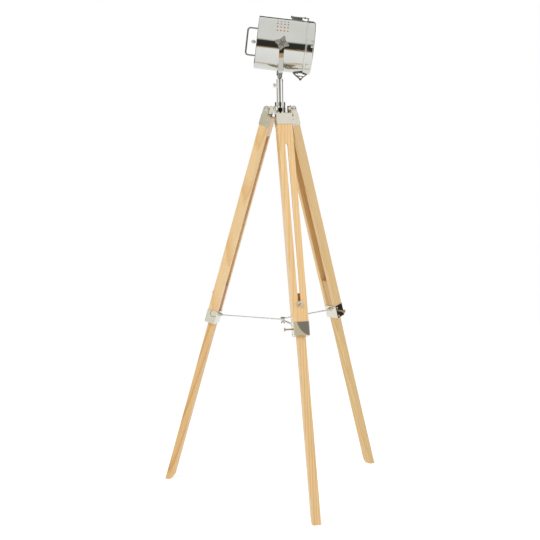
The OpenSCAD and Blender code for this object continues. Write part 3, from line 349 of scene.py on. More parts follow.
def pine(name, leg, pith, seed, tones, channel_shade):
    """Varnished pine in one board, its pith at these millimetres and its upper end painted brown as shade."""
    place, turn = leg_frame(leg)

    def sockets(tree):
        world = add(tree, "TexCoord").outputs["Object"]
        board = add(tree, "Mapping", {"Vector": world, "Location": place, "Rotation": turn},
                    vector_type="TEXTURE")
        trunk = add(tree, "Mapping", {"Vector": board.outputs[0], "Location": [v * MM for v in pith],
                                      "Rotation": PITH_TILT}, vector_type="POINT")
        # Rings: cylinders round the pith, pushed about by up to 10 mm over 45 mm of the width.
        slow = add(tree, "Mapping", {"Vector": trunk.outputs[0], "Scale": (22, 22, 2.4)},
                   vector_type="POINT")
        drift = add(tree, "TexNoise", {"Vector": slow.outputs[0], "Scale": 1.0, "Detail": 2.0, "W": seed},
                    noise_dimensions="4D")
        shift = add(tree, "VectorMath", {0: drift.outputs["Color"], 1: (0.010, 0.010, 0.0)},
                    operation="MULTIPLY")
        bent = add(tree, "VectorMath", {0: trunk.outputs[0], 1: shift.outputs[0]}, operation="ADD")
        rings = add(tree, "TexWave", {"Vector": bent.outputs[0], "Scale": 1 / RING_SPACING / WAVE_RINGS,
                                      "Distortion": 0.0, "Detail": 1.0},
                    wave_type="RINGS", rings_direction="Z", wave_profile="SAW")
        early, late = (linear(tone) for tone in tones)
        grain = ramp(tree, rings.outputs["Fac"], (0.0, early), (0.55, early), (0.9, late), (1.0, early))
        # Fibres: streaks across the board's width, drawn out along its length.
        along = add(tree, "Mapping", {"Vector": board.outputs[0],
                                      "Scale": (1 / FIBRE_SPACING, 1 / FIBRE_SPACING, 14)},
                    vector_type="POINT")
        fibre = add(tree, "TexNoise", {"Vector": along.outputs[0], "Scale": 1.0, "Detail": 3.0})
        fibres = ramp(tree, fibre.outputs["Fac"], (0.3, (0.80, 0.78, 0.74, 1)), (0.62, (1.04, 1.04, 1.04, 1)))
        colour = add(tree, "Mix", {0: 0.45, 6: grain, 7: fibres}, data_type="RGBA", blend_type="MULTIPLY")
        # The board's slow change of tone, and the painted shade on the upper end inside the rail.
        broad = ramp(tree, drift.outputs["Fac"], (0.3, (0.94, 0.90, 0.84, 1)), (0.7, (1.04, 1.05, 1.06, 1)))
        toned = add(tree, "Mix", {0: 0.8, 6: colour.outputs[2], 7: broad}, data_type="RGBA",
                    blend_type="MULTIPLY")
        # Painted shade: above the clamp, where the rail's channel is in shadow, the slider is multiplied
        # towards brown.
        height = add(tree, "SeparateXYZ", {"Vector": board.outputs[0]}).outputs["Z"]
        upper = add(tree, "MapRange", {"Value": height, "From Min": PAINTED_SHADE_LINE[0], "From Max": PAINTED_SHADE_LINE[1],
                                       "To Max": channel_shade})
        final = add(tree, "Mix", {0: upper.outputs[0], 6: toned.outputs[2], 7: linear(PAINTED_SHADE_BROWN)},
                    data_type="RGBA", blend_type="MULTIPLY")
        bump = add(tree, "Bump", {"Height": fibre.outputs["Fac"], "Strength": 0.06, "Distance": 0.2 * MM})
        return {"Base Color": final.outputs[2], "Roughness": 0.42, "Normal": bump.outputs[0],
                "Coat Weight": 0.2 if channel_shade else 0.7, "Coat Roughness": 0.16,
                "Specular IOR Level": 0.25 if channel_shade else 0.5}

    return principled(name, sockets)


def give(node, material):
    """Puts the material in every slot of a solid of the frame."""
    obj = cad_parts[node]
    if not obj.material_slots:
        obj.data.materials.append(material)
    for slot in obj.material_slots:
        slot.material = material


print("rings every", round(RING_SPACING / MM, 1), "mm")

# %% Six boards
# Planed softwood under satin varnish: pale yellow with soft brown arches, and a broad dull gloss.
BOARDS = [
    # part, finish, pith in mm, seed, early and late wood, how strong the painted shade of the upper end is:
    # one row a leg
    ("upper_leg", "varnished_pine_rail", [
        ((38, 9, 0), 3.1, ("#e8c993", "#dab277"), 0.0),
        ((-6, 52, 0), 6.2, ("#eaca96", "#dfb67b"), 0.0),
        ((31, 36, 0), 9.3, ("#e9c58e", "#deb173"), 0.0)]),
    ("lower_leg", "varnished_pine_slider", [
        ((24, -17, 0), 5.7, ("#debf8a", "#cba56a"), 0.25),
        ((-40, 12, 0), 11.4, ("#dfb981", "#ce9d60"), 0.9),
        ((12, 41, 0), 17.1, ("#e4c391", "#d3a770"), 0.8)]),
]
for part, finish, rows in BOARDS:
    for leg, (pith, seed, tones, channel_shade) in enumerate(rows, start=1):
        give(f"{part}_{leg}", pine(f"{finish}_{leg}", leg, pith, seed, tones, channel_shade))
print("boards of pine:", sum(len(rows) for _, _, rows in BOARDS))

# %% [markdown]
# ## Metals
# A plated metal is its colour and its haze. Plating copies the surface under it, and handling leaves
# that surface very slightly uneven, so the roughness wanders a little and the colour darkens with
# it. One function makes them all: the cloud's size is a real length, that of the smudges on a
# polished part or of the grit on a cast or tumbled one.

# %% A metal's material
def metal(name, colour, rough, smudge, grit_mm):
    """A metal whose roughness wanders between rough and rough + smudge over patches of grit_mm."""

    def sockets(tree):
        where = add(tree, "TexCoord").outputs["Object"]
        cloud = add(tree, "TexNoise", {"Vector": where, "Scale": 1 / (grit_mm * MM), "Detail": 4.0})
        level = add(tree, "MapRange", {"Value": cloud.outputs["Fac"], "From Min": 0.35, "From Max": 0.7,
                                       "To Min": rough, "To Max": rough + smudge})
        dark = tuple(0.93 * v for v in linear(colour)[:3]) + (1.0,)
        tint = ramp(tree, cloud.outputs["Fac"], (0.3, dark), (0.65, linear(colour)))
        return {"Base Color": tint, "Metallic": 1.0, "Roughness": level.outputs[0]}

    return principled(name, sockets)


print("a metal takes a colour, a roughness, its smudge and a size in mm")

# %% Chrome plate
# Spun steel, polished and plated: a mirror with a warm grey cast and a breath of haze.
chrome = metal("bright_chrome_plate", "#cfd0cb", 0.03, 0.03, 60)
# Flat strip polished before it was bent: a mirror sharp enough to show the edges in the room.
polished = metal("polished_yoke_strip", "#cfd0cb", 0.0, 0.01, 60)
# Cold-rolled sheet, folded after polishing: clean, cream-toned mirrors with square edges.
sheet = metal("chromed_bracket_sheet", "#dcd8cb", 0.0, 0.012, 45)
# Thick new plate on turned parts: the whitest and brightest of the mirrors.
bright = metal("new_hub_chrome", "#f6f6f4", 0.02, 0.03, 30)
# The bent rod of the handle, where hands have dulled the plate: a darker, browner mirror.
worn = metal("worn_handle_chrome", "#9a938b", 0.04, 0.03, 30)
# Small turned knobs, buffed by hand: soft highlights that run round the rim.
knob_chrome = metal("turned_knob_chrome", "#eceae4", 0.14, 0.06, 6)
# Chrome over a casting that was only blasted: an even grey with no image in it.
satin = metal("satin_chrome_casting", "#a5a6a8", 0.36, 0.08, 20)
print("seven chromes")

# %% Zinc, nickel, copper and steel
# Bright zinc on small screws and rivets: silvery, with a slight bloom.
zinc = metal("bright_zinc_plate", "#d9dad6", 0.22, 0.10, 12)
# Stamped strip, tumbled and zinc-plated: almost white and quite dull.
arms = metal("tumbled_zinc_strip", "#f0f1ee", 0.42, 0.12, 10)
# Zinc cast in a steel mould and left as it came: warm grey, cloudy, soft in its light.
casting = metal("satin_zinc_casting", "#9b9993", 0.34, 0.14, 5)
# Zinc under an olive chromate: a khaki grey that dulls every highlight.
olive = metal("olive_passivated_steel", "#8a8372", 0.36, 0.12, 8)
# The same under a yellow chromate: brass-like, but flatter.
brassy = metal("yellow_passivated_screw", "#b39c7a", 0.34, 0.10, 4)
# Nickel on spring steel: cooler than chrome and a little milky.
nickel = metal("dull_nickel_plate", "#b9beba", 0.24, 0.12, 9)
# Screws quenched in oil: near black, with a grey glint on their edges.
blackened = metal("blackened_screw_steel", "#2b2b2e", 0.35, 0.10, 6)
# Spun copper, buffed inside: an orange mirror that warms the bulb's light.
copper = metal("polished_copper_reflector", "#c77f45", 0.14, 0.08, 25)
# Steel strip under clear copper-toned lacquer: orange and dull, whatever it faces.
lacquer = metal("copper_lacquered_heat_shield", "#ff9a3c", 0.45, 0.12, 15)
print("nine other metals")

# %% [markdown]
# ## Plastics and glass
# The lampholder is pressed resin, the bush and washers are nylon and the grommet is rubber: moulded
# things, nearly even, with a faint orange peel that breaks up their gloss. The door has clear float
# glass. The bulb is frosted inside, so it glows evenly under a clear skin.

# %% Moulded materials
PEEL = 1.5 * MM  # a mould's real texture is finer: drawn coarser, or it wouldn't show


def moulded(name, colour, rough):
    """A moulded plastic or rubber: nearly even, with a faint orange peel in its gloss."""

    def sockets(tree):
        where = add(tree, "TexCoord").outputs["Object"]
        peel = add(tree, "TexNoise", {"Vector": where, "Scale": 1 / PEEL, "Detail": 2.0})
        dark = tuple(0.85 * v for v in linear(colour)[:3]) + (1.0,)
        tint = ramp(tree, peel.outputs["Fac"], (0.3, dark), (0.7, linear(colour)))
        bump = add(tree, "Bump", {"Height": peel.outputs["Fac"], "Strength": 0.15, "Distance": 0.1 * MM})
        return {"Base Color": tint, "Roughness": rough, "Normal": bump.outputs[0]}

    return principled(name, sockets)


# Thermoset resin from a polished mould: black, with a soft shine.
resin = moulded("black_lampholder_resin", "#1b1b1c", 0.35)
# Injection-moulded nylon: dark grey and waxy.
nylon = moulded("grey_nylon", "#45464a", 0.5)
# Moulded rubber: black with hardly any gloss.
rubber = moulded("black_rubber", "#202021", 0.7)
print("three moulded materials")

# %% Glass
RIPPLE, FROST = 40 * MM, 18 * MM


def clear_glass(name):
    """Float glass for the door: see-through, with its faint green in the thickness."""

    def sockets(tree):
        where = add(tree, "TexCoord").outputs["Object"]
        ripple = add(tree, "TexNoise", {"Vector": where, "Scale": 1 / RIPPLE, "Detail": 1.0})
        bump = add(tree, "Bump", {"Height": ripple.outputs["Fac"], "Strength": 0.02, "Distance": 0.3 * MM})
        tint = ramp(tree, ripple.outputs["Fac"], (0.3, linear("#f4fbf8")), (0.7, linear("#f8fdfb")))
        return {"Base Color": tint, "Roughness": 0.0, "IOR": 1.52, "Transmission Weight": 1.0,
                "Normal": bump.outputs[0]}

    return principled(name, sockets)


def opal_glass(name):
    """A white-frosted bulb: bright inside coating under a clear, glossy skin."""

    def sockets(tree):
        where = add(tree, "TexCoord").outputs["Object"]
        cloud = add(tree, "TexNoise", {"Vector": where, "Scale": 1 / FROST, "Detail": 2.0})
        tint = ramp(tree, cloud.outputs["Fac"], (0.3, linear("#ece9df")), (0.7, linear("#f6f4ec")))
        return {"Base Color": tint, "Roughness": 0.22, "Subsurface Weight": 0.2,
                "Coat Weight": 0.5, "Coat Roughness": 0.05}

    return principled(name, sockets)


# Cast flat on molten tin: no grain at all, only a glint and the slightest waviness.
window = clear_glass("float_glass")
# Blown, then powder-coated inside: milk-white, with a sharp highlight on the skin.
opal = opal_glass("opal_bulb_glass")
print("two glasses")

# %% Give each solid its finish
WEARERS = [
    (sheet, "leg_bracket_1 leg_bracket_2 leg_bracket_3 leg_clamp_1 leg_clamp_2 leg_clamp_3"),
    (bright, "hub stem_tube"), (polished, "yoke"), (satin, "yoke_spigot"), (worn, "rear_handle"),
    (arms, "brace_arm_1 brace_arm_2 brace_arm_3"),
    (olive, "brace_cap brace_wing_nut hinge_body_leaf hinge_door_leaf"),
    (nickel, "latch_base latch_lever latch_bail latch_keeper"),
    (brassy, "side_thumbscrew_1 side_thumbscrew_2 side_thumbscrew_3"),
    (casting, "star_knob_near star_knob_far"), (blackened, "collar_screws"),
    (zinc, "lampholder_bracket"), (resin, "lampholder"), (nylon, "stem_bush tilt_washers"),
    (rubber, "cable_grommet"), (opal, "bulb"), (window, "lens"), (copper, "reflector"),
]
finish_of = {node: material for material, nodes in WEARERS for node in nodes.split()}
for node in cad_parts:
    if not node.startswith(("upper_leg", "lower_leg")):
        give(node, finish_of.get(node, chrome))
print("bright chrome on the rest:", sum(node not in finish_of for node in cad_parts) - 6, "nodes")

# %% [markdown]
# ## Surfaces from formulas
# The finer pieces are drawn as grids of points, each one formula of two parameters, the way a lathe,
# a press or a bent rod makes the real thing. Lengths here are millimetres in the piece's own frame:
# a leg's frame, or the head's, whose x runs forward along the drum's axis. Each grid is welded,
# turned to face outwards and carried into the lamp's frame.

# %% Frames and grids
HEAD_TILT = math.radians(7.25)
HEAD_PLACE = Vector((4.933, 0, 1351)) * MM
DRUM_RADIUS = 78.5
AXES = {"x": (1, 2, 0), "y": (2, 0, 1), "z": (0, 1, 2)}


def carrier(place, turn):
    """Carries points in millimetres, in a frame with this place and turn, to metres in the lamp's."""
    matrix = np.array(turn.to_matrix())
    return lambda points: points @ matrix.T * MM + np.array(place)


on_head = carrier(HEAD_PLACE, Euler((0, HEAD_TILT, 0)))
on_leg = {leg: carrier(*leg_frame(leg)) for leg in (1, 2, 3)}
upright = carrier(Vector((0, 0, 0)), Euler((0, 0, 0)))


def grid(points, closed_rows=False):
    """Points and triangles of a grid whose last column meets its first; closed_rows joins its ends."""
    rows, columns = points.shape[:2]
    index = np.arange(rows * columns).reshape(rows, columns)
    index = np.hstack([index, index[:, :1]])
    if closed_rows:
        index = np.vstack([index, index[:1]])
    a, b, c, d = index[:-1, :-1], index[:-1, 1:], index[1:, 1:], index[1:, :-1]
    triangles = np.concatenate([np.stack(t, -1).reshape(-1, 3) for t in ((a, b, c), (a, c, d))])
    return points.reshape(-1, 3), triangles


def placed(first, second, third, axis, place=(0, 0, 0)):
    """Points from two coordinates across an axis and one along it."""
    parts = dict(zip(AXES[axis], np.broadcast_arrays(first, second, third)))
    return np.stack([parts[0], parts[1], parts[2]], -1) + np.array(place, float)


def arc(centre, radius, start, end, count):
    """Points on an arc about centre, from one angle to another, in degrees."""
    a = np.radians(np.linspace(start, end, count))
    return list(zip(centre[0] + radius * np.cos(a), centre[1] + radius * np.sin(a)))


print("frames of", len(on_leg), "legs and the head")

# %% Lathe, slab and rod
def lathe(profile, axis="z", place=(0, 0, 0), sides=64, ring=False):
    """Points (radius, distance along the axis) turned round the axis; ring joins last to first."""
    radius, reach = np.array(profile, float).T[:, :, None]
    turn = np.linspace(0, 2 * np.pi, sides, endpoint=False)[None, :]
    return grid(placed(radius * np.cos(turn), radius * np.sin(turn), reach, axis, place), ring)


def domed(radius, height, base):
    """A domed head's profile: flat base, short rim, and a cap that is part of a ball."""
    rim = 0.25 * height
    ball = (radius ** 2 + (height - rim) ** 2) / (2 * (height - rim))
    spread = np.linspace(np.arcsin(min(radius / ball, 1)), 0, 9)
    cap = zip(ball * np.sin(spread), base + height - ball + ball * np.cos(spread))
    return [(0, base), (radius, base), *cap]


def slab(outline, low, high, ease=0.3, axis="z"):
    """A plate of this outline from low to high along an axis, edges eased, closed to its middle."""
    ring = np.array(outline, float)
    ahead = np.roll(ring, -1, 0) - np.roll(ring, 1, 0)
    out = np.stack([ahead[:, 1], -ahead[:, 0]], 1) / np.linalg.norm(ahead, axis=1)[:, None]
    area = np.sum(ring[:, 0] * np.roll(ring[:, 1], -1) - ring[:, 1] * np.roll(ring[:, 0], -1))
    small = ring - ease * out * np.sign(area)
    middle = np.broadcast_to(ring.mean(0), ring.shape)
    flat = np.array([middle, small, ring, ring, small, middle])
    level = np.array([low, low, low + ease, high - ease, high, high])[:, None]
    return grid(placed(flat[..., 0], flat[..., 1], level, axis))


def rounded(x0, x1, y0, y1, radius):
    """The outline of a rectangle with round corners: a quarter circle about each corner's centre."""
    left, right, low, high = x0 + radius, x1 - radius, y0 + radius, y1 - radius
    centres = [(right, high), (left, high), (left, low), (right, low)]
    corners = [arc(centre, radius, 90 * k, 90 * k + 90, 5) for k, centre in enumerate(centres)]
    return [point for corner in corners for point in corner]

def rod(corners, bend, radius, normal):
    """A round rod through corners in a plane with this normal; each corner is a parabola, bend long."""
    corners = [np.array(c, float) for c in corners]
    t = np.linspace(0, 1, 9)[:, None]
    path = [corners[0]]
    for before, here, after in zip(corners, corners[1:], corners[2:]):
        start = here + (before - here) / np.linalg.norm(before - here) * bend
        end = here + (after - here) / np.linalg.norm(after - here) * bend
        path.extend((1 - t) ** 2 * start + 2 * t * (1 - t) * here + t ** 2 * end)
    path = np.array([*path, corners[-1]])
    ahead = np.gradient(path, axis=0)
    side = np.cross(np.array(normal, float), ahead / np.linalg.norm(ahead, axis=1)[:, None])
    turn = np.linspace(0, 2 * np.pi, 20, endpoint=False)[None, :, None]
    skin = path[:, None] + radius * (np.cos(turn) * side[:, None] + np.sin(turn) * np.array(normal, float))
    first, last = (np.broadcast_to(path[k], skin[:1].shape) for k in (0, -1))
    return grid(np.concatenate([first, skin, last]))


def round_drum(part):
    """Bends a flat part over the drum: its y becomes a length round the drum and its z a height."""
    (x, y, z), triangles = part[0].T, part[1]
    turn, radius = y / DRUM_RADIUS, DRUM_RADIUS + z
    return np.stack([x, radius * np.sin(turn), radius * np.cos(turn)], 1), triangles


def both_sides(*parts):
    """The parts and their mirror images across y = 0, whose faces are turned outwards later."""
    return [*parts, *((points * (1, -1, 1), triangles) for points, triangles in parts)]


print("lathe, slab and rod ready")

# %% Weld, face outwards and hand over
def piece(name, parts, carry, material, body, nodes=(), sharp=35):
    """One object of closed parts: welded, faced outwards by their volume's sign, riding on its body."""
    points, triangles, count = [], [], 0
    for vertices, faces in parts:
        spots, index = np.unique(np.round(vertices, 4), axis=0, return_inverse=True)
        a, b, c = faces = index.reshape(-1)[faces].T
        faces = faces[:, (a != b) & (b != c) & (c != a)].T
        p, q, r = (spots[faces[:, k]] for k in range(3))
        if np.einsum("ij,ij->", p, np.cross(q, r)) < 0:
            faces = faces[:, ::-1]
        points.append(spots)
        triangles.append(faces + count)
        count += len(spots)
    mesh = bpy.data.meshes.new(name)
    mesh.from_pydata(carry(np.concatenate(points)).tolist(), [], np.concatenate(triangles).tolist())
    mesh.materials.append(material)
    mesh.shade_smooth()
    mesh.set_sharp_from_angle(angle=math.radians(sharp))
    obj = bpy.data.objects.new(name, mesh)
    bpy.context.collection.objects.link(obj)
    if nodes:
        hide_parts(*nodes)
    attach(obj, body)
    print(name, len(mesh.polygons), "triangles")
    return obj


print("hand-over ready")

# %% [markdown]
# ## Star knobs
# Each knob is cast in zinc and left satin. Its outline is a square whose sides are hollowed by big
# circles, and its front is a cushion with a groove from each hollow to the middle, so the four
# points are soft pads for the fingers. One formula gives the outline: the nearer of the square's
# edge and the hollow's circle, blended where they meet.

# %% The star's outline
TIP, WAIST, HOLLOW = 24.0, 14.2, 20.0
BLEND, BLUNT = 14, 1.2
KNOB_TURN = math.radians(-13.0)


def star_reach(turn):
    """Distance from the middle to the outline: the smaller of square and hollow, softly blended.

    fold is the angle from the nearest point of the star. The points are blunted by a narrow dip.
    """
    fold = np.abs((turn + np.pi / 4) % (np.pi / 2) - np.pi / 4)
    square = TIP / (np.cos(fold) + np.sin(fold))
    far, apart = WAIST + HOLLOW, np.pi / 4 - fold
    room = HOLLOW ** 2 - (far * np.sin(apart)) ** 2
    hollow = np.where(room > 0, far * np.cos(apart) - np.sqrt(np.maximum(room, 0)), 1e3)
    return (square ** -BLEND + hollow ** -BLEND) ** (-1 / BLEND) - BLUNT * np.exp(-(fold / 0.1) ** 2)


print("star reaches", star_reach(np.radians([0, 45])).round(1), "mm at a point and at a waist")

# %% Model the star knobs
KNOB_BACK, KNOB_FRONT = 86.3, 98.0
BOSS = ((0, 0), (7.4, 0), (8, 0.6), (8, 3))
RIM_START, RIM_ROUND, RIM_RISE = 3.7, 2.6, 4.6
GROOVE_DEPTH, GROOVE_WIDTH = 2.1, 0.15
DIMPLE_DEPTH, DIMPLE_SHARE = 1.1, 0.13


def star_knob(side):
    """Rows run from the boss's back over the rounded rim to the middle of the grooved cushion."""
    turn = np.linspace(0, 2 * np.pi, 192, endpoint=False)
    reach = star_reach(turn)
    groove = np.exp(-(((turn % (np.pi / 2)) - np.pi / 4) / GROOVE_WIDTH) ** 2)
    rows = [(r + 0 * reach, KNOB_BACK + h + 0 * reach) for r, h in BOSS]
    rows += [(reach - 1.6, KNOB_BACK + 3 + 0 * reach), (reach - 0.3, KNOB_BACK + RIM_START + 0 * reach)]
    for share in np.linspace(0, 1, 10)[1:]:
        rows.append((reach - 0.3 - RIM_ROUND * (1 - np.cos(share * np.pi / 2)),
                     KNOB_BACK + RIM_START + RIM_RISE * np.sin(share * np.pi / 2) + 0 * reach))
    edge, top = rows[-1]
    for share in np.linspace(0.95, 0, 22):
        cushion = (KNOB_FRONT - top) * (1 - share ** 2)
        cut = GROOVE_DEPTH * groove * np.clip((1 - share) * 9, 0, 1) * np.clip(share * 5, 0, 1)
        dimple = DIMPLE_DEPTH * np.exp(-(share / DIMPLE_SHARE) ** 2)
        rows.append((edge * share, top + cushion - cut - dimple))
    radius, level = (np.array([row[k] for row in rows]) for k in (0, 1))
    around = turn + KNOB_TURN
    return grid(placed(radius * np.sin(around), radius * np.cos(around), side * level, "y"))


for label, side in (("near", -1), ("far", 1)):
    piece(f"cast_star_knob_{label}", [star_knob(side)], on_head, casting, f"star_{label}",
          [f"star_knob_{label}"], sharp=60)

# %% [markdown]
# ## Door ring, its screws and the heat shields
# The door is a spun ring. Its back edge is raised in a low bead, so a bright line crosses the
# dark band at the seam, and its front edge rolls over into a lip that keeps the glass. Two domed
# screws hold the glass's clips. Inside the drum, behind the vents, a copper-lacquered shield keeps
# the lamp's heat off the shell: it is the orange that shows through the holes.

# %% Spin the door ring
DOOR_BACK, DOOR_FRONT, SEAT = 69.7, 95.7, 84.1
WALL_INSIDE, SEAT_RADIUS, SEAT_THICK = 77.3, 75.0, 1.2
BEAD, PROUD, LIP, LIP_INSIDE = 4.2, 0.9, 4, 2.8
bead = arc((DOOR_BACK + 2.6, DRUM_RADIUS + PROUD - BEAD), BEAD, 128, 52, 14)
lip_centre = (DOOR_FRONT - LIP, DRUM_RADIUS - LIP)
rim = [(WALL_INSIDE, DOOR_BACK), (WALL_INSIDE + 1, DOOR_BACK)]
rim += [(r, x) for x, r in bead + arc(lip_centre, LIP, 90, 0, 12)]
rim += [(71.8, DOOR_FRONT), (71.5, DOOR_FRONT - 0.6), (71.8, DOOR_FRONT - 1.2)]
rim += [(r, x) for x, r in arc(lip_centre, LIP_INSIDE, 0, 90, 8)]
rim += [(WALL_INSIDE, SEAT), (SEAT_RADIUS, SEAT), (SEAT_RADIUS, SEAT - SEAT_THICK),
        (WALL_INSIDE, SEAT - SEAT_THICK), (WALL_INSIDE, DOOR_BACK + 4)]
piece("spun_door_ring", [lathe(rim, "x", sides=256, ring=True)], on_head, chrome, "door",
      ["door_ring"])

# %% Turn the glass screws
GLASS_SCREW_X = 88.8
glass_head = lathe(domed(3.4, 2.0, DRUM_RADIUS), "y", (GLASS_SCREW_X, 0, 0), 32)
glass_shank = lathe([(0, 70.5), (1.5, 70.5), (1.5, 78.8), (0, 78.8)], "y", (GLASS_SCREW_X, 0, 0), 16)
piece("domed_glass_screws", both_sides(glass_head, glass_shank), on_head, zinc, "door",
      ["lens_screws"])

# %% Bend the heat shields
SHIELD_LIFT = (21, 65)
SHIELD_OUTER, SHIELD_INNER = 76.9, 76.4
SHIELD_BACK, SHIELD_FRONT = -22.0, 18.0


def shield_skin():
    """The strip's closed skin: its outer and inner faces as one loop round its cross-section."""
    lift = np.radians(np.linspace(*SHIELD_LIFT, 24))
    outer = np.stack([SHIELD_OUTER * np.cos(lift), SHIELD_OUTER * np.sin(lift)], 1)
    inner = np.stack([SHIELD_INNER * np.cos(lift), SHIELD_INNER * np.sin(lift)], 1)[::-1]
    loop = np.concatenate([outer, inner])
    mate = (outer + inner[::-1]) / 2
    seam = np.concatenate([mate, mate[::-1]])
    flat = np.array([seam, loop, loop, seam])
    ends = np.array([SHIELD_BACK, SHIELD_BACK, SHIELD_FRONT, SHIELD_FRONT])[:, None]
    return grid(placed(flat[..., 0], flat[..., 1], ends, "x"))


piece("vent_heat_shields", both_sides(shield_skin()), on_head, lacquer, "head")

# %% [markdown]
# ## Pivot bolts and leg fasteners
# Each leg hangs on two short bolts, one through each ear, so the hub's barrel shows between the
# ears. Their heads are domed and bright. The brackets and clamps are held by small domed screws and
# rivets, and the brace's arms hang on a pin through the clamp's tabs. A square black pad on the
# barrel's front is painted shade: it stands for the dark of a square recess there. All of these are
# lathe work, apart from the pad.

# %% Model the fasteners
EAR, CLAMP_SIDE, TAB, PIN_X, PIN_DOWN = 24.1, 23.8, 5.6, -28.3, 653.0
SCREW_X, SCREWS_DOWN, STUDS_DOWN = -12, (30, 47), (28, 45)
RIVET_X, RIVETS_DOWN = -12.5, (650, 677)


def stud(profile, x, down, sides=32):
    """A turned part along the leg's y axis, at x and a distance below the pivot."""
    return lathe(profile, "y", (x, 0, -down), sides)


for leg in (1, 2, 3):
    shank = [(0, 16), (5.6, 16), (5.6, 18.4), (4, 18.4), (4, EAR + 0.3), (0, EAR + 0.3)]
    bolt = both_sides(stud(domed(6.6, 4.6, EAR + 0.15), 0, 0, 48), stud(shank, 0, 0))
    piece(f"short_pivot_bolts_{leg}", bolt, on_leg[leg], chrome, "stand_hub",
          ["leg_pivot_bolts"] if leg == 1 else [])
    screws = [stud(domed(2.7, 1.5, EAR), SCREW_X, down) for down in SCREWS_DOWN]
    screws += [stud([(0, 19), (1.5, 19), (1.5, EAR), (0, EAR)], 0, down) for down in STUDS_DOWN]
    screws += [stud(domed(2.6, 1.4, CLAMP_SIDE), RIVET_X, down) for down in RIVETS_DOWN]
    pin = stud([(0, -TAB - 1.5), (2.2, -TAB - 1.3), (2.5, -TAB), (1.5, -TAB), (1.5, TAB), (2.5, TAB),
                (2.2, TAB + 1.3), (0, TAB + 1.5)], PIN_X, PIN_DOWN)
    piece(f"domed_leg_fasteners_{leg}", both_sides(*screws) + [pin], on_leg[leg], zinc, f"leg_{leg}",
          [f"leg_fasteners_{leg}"])

# %% The hub's black pad, painted shade of a square recess
# Painted shade: a thin black plate stands for the dark of the square recess in the barrel's front.
PAD_THICK, PAD_PLACE = 2.4, (-0.5, -13.4, 0)
pad, pad_faces = slab(rounded(-6.2, 6.2, 1150.4, 1163.4, 2.2), 0, 1, 0.4, "z")
pad = pad[:, [0, 2, 1]] * (1, -PAD_THICK, 1) + PAD_PLACE
piece("hub_recess_painted_shade_pad", [(pad, pad_faces)], upright, blackened, "stand_hub")

# %% [markdown]
# ## Dished knobs on the slots
# The knob that clamps each sliding leg is turned from bar: a narrow seat, a flared skirt with a
# rolled lip and a hollow front round the bolt's end.

# %% Turn the dished knobs
KNOB_SEAT, KNOB_DOWN = 11.3, 592
dish = [(3.15, 0), (5.0, 0), (5.3, 1.2), (5.9, 2.6), (6.8, 3.9), (7.6, 4.9), (8.0, 5.7), (7.9, 6.2),
        (7.4, 6.4), (6.7, 5.8), (5.9, 4.8), (5.2, 3.9), (4.8, 3.7), (4.7, 4.9), (4.4, 5.1), (3.15, 5.1)]
for leg in (1, 2, 3):
    piece(f"dished_slot_knob_{leg}", [lathe(dish, "x", (KNOB_SEAT, 0, -KNOB_DOWN), 64, ring=True)],
          on_leg[leg], knob_chrome, f"slot_lock_{leg}", [f"slot_knob_{leg}"], sharp=50)

# %% [markdown]
# ## The stem's thumbscrew
# This is also lathe work: a shank, a necked-in throat and a round head with a hollow in its end. Its
# ends are taken from the box of the solid that it stands for, so it fits the same thread.

# %% Turn the stem's thumbscrew
THROAT = -9.8
low, high = (np.array(corner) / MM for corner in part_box("stem_thumbscrew"))
outer, head_radius, screw_z = low[0], (high[1] - low[1]) / 2, (high[2] + low[2]) / 2
thumb = [(0, high[0]), (2.2, high[0]), (2.2, THROAT), (1.9, THROAT - 0.3), (1.9, THROAT - 1.6),
         (head_radius - 1.6, THROAT - 1.9), (head_radius - 0.5, THROAT - 2.6), (head_radius, THROAT - 3.9),
         (head_radius, outer + 2.4), (head_radius - 0.6, outer + 0.9), (head_radius - 1.9, outer),
         (head_radius - 2.6, outer + 0.4), (head_radius - 3.2, outer + 1.3), (0, outer + 1.6)]
piece("turned_stem_thumbscrew", [lathe(thumb, "x", (0, 0, screw_z), 64)], upright, knob_chrome,
      "stem_lock", ["stem_thumbscrew"], sharp=50)

# %% [markdown]
# ## The latch
# A toggle latch holds the door: a base with two cheeks on the drum, a pressed lever between them,
# and a wire bail that hooks the keeper on the door. The base and keeper follow the drum's curve, so
# they are drawn flat and bent round it. The lever is a channel with a turned-up thumb tail.

# %% The latch's base
LATCH_X, LATCH_Z = 50.3, 85.0
CHEEK_IN, CHEEK_OUT = 4.4, 5.8
plate = round_drum(slab(rounded(21, 62.2, -9, 9, 3), 0.0, 1.2))
eye = arc((LATCH_Z, LATCH_X), 4, -10, 190, 12)[1:]
cheek_line = [(79.2, 24), (79.2, 57), (82, 55.5), *eye, (82.4, 44), (82.2, 25)]
cheek = slab([(z, x) for z, x in cheek_line], CHEEK_IN, CHEEK_OUT, 0.3, "y")
pin = lathe([(0, -6.6), (1.7, -6.6), (1.9, -6.2), (1.25, -5.9), (1.25, 5.9), (1.9, 6.2), (1.7, 6.6),
             (0, 6.6)], "y", (LATCH_X, 0, LATCH_Z), 24)
piece("latch_base_with_cheeks", [plate, *both_sides(cheek), pin], on_head, nickel, "head",
      ["latch_base"])

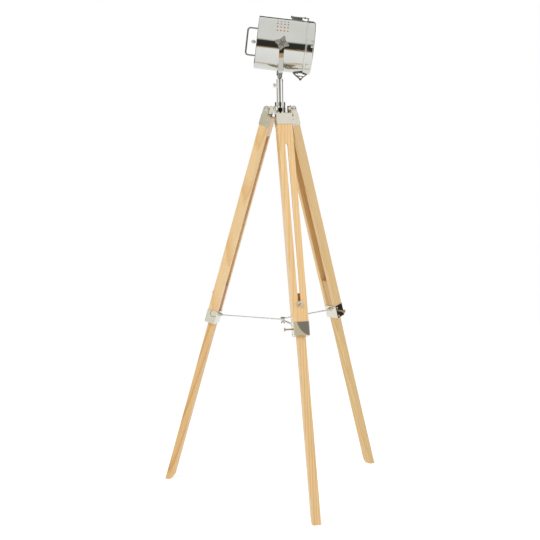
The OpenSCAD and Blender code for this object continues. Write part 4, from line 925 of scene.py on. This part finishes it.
# %% The latch's lever
lever_line = [(3.4, 0), (3.4, -20), (3.9, -24.5), (4.8, -28.6), (4.6, -29.6), (3.6, -30), (-1.2, -30),
              (-2.3, -29.2), (-2.5, -27.5), (-2.4, -4), (-3.2, -1.5), (-3.3, 2), (-1.6, 4.6), (1.0, 5.4),
              (2.8, 4.4)]
lever, lever_faces = slab(lever_line, -4.1, 4.1, 0.5, "y")
piece("pressed_latch_lever", [(lever + (LATCH_X, 0, LATCH_Z), lever_faces)], on_head, nickel, "lever",
      ["latch_lever"])

# %% The latch's wire bail
BAIL_BACK, BAIL_FRONT, BAIL_HALF, BAIL_Z, ROLLER_X = 42.3, 72.3, 7.6, 87.5, 63
corners = [(BAIL_BACK, 0), (BAIL_BACK, -BAIL_HALF), (BAIL_FRONT, -BAIL_HALF), (BAIL_FRONT, BAIL_HALF),
           (BAIL_BACK, BAIL_HALF), (BAIL_BACK, 0)]
wire = rod([(x, y, BAIL_Z) for x, y in corners], 2.2, 1.0, (0, 0, 1))
roller = lathe([(0, -6.4), (2.6, -6.4), (3.1, -5.9), (3.1, -1.2), (2.5, -0.8), (2.5, 0.8), (3.1, 1.2),
                (3.1, 5.9), (2.6, 6.4), (0, 6.4)], "y", (ROLLER_X, 0, BAIL_Z), 32)
piece("wire_latch_bail", [wire, roller], on_head, nickel, "bail", ["latch_bail"])

# %% The latch's keeper
keeper = round_drum(slab(rounded(73.2, 91.0, -7.5, 7.5, 3), 0.0, 1.4))
foot = round_drum(slab(rounded(70.3, 76.0, -7.0, 7.0, 1.5), 0.7, 1.6))
hook = slab([(79.3, 70.8), (86.1, 70.8), (86.2, 72.6), (79.3, 72.8)], -5, 5, 0.3, "y")
tip = slab([(79.3, 73.7), (87.6, 73.7), (88.6, 74.4), (88.3, 75.4), (79.3, 75.3)], -5, 5, 0.3, "y")
rivet, rivet_faces = lathe(domed(2.2, 1.3, 1.3), sides=24)
rivets = [round_drum((rivet + (x, 0, 0), rivet_faces)) for x in (80.0, 87.0)]
piece("latch_keeper_hook", [keeper, foot, hook, tip, *rivets], on_head, nickel, "door",
      ["latch_keeper"])

# %% [markdown]
# ## The end

# %% Finish
print("finished")
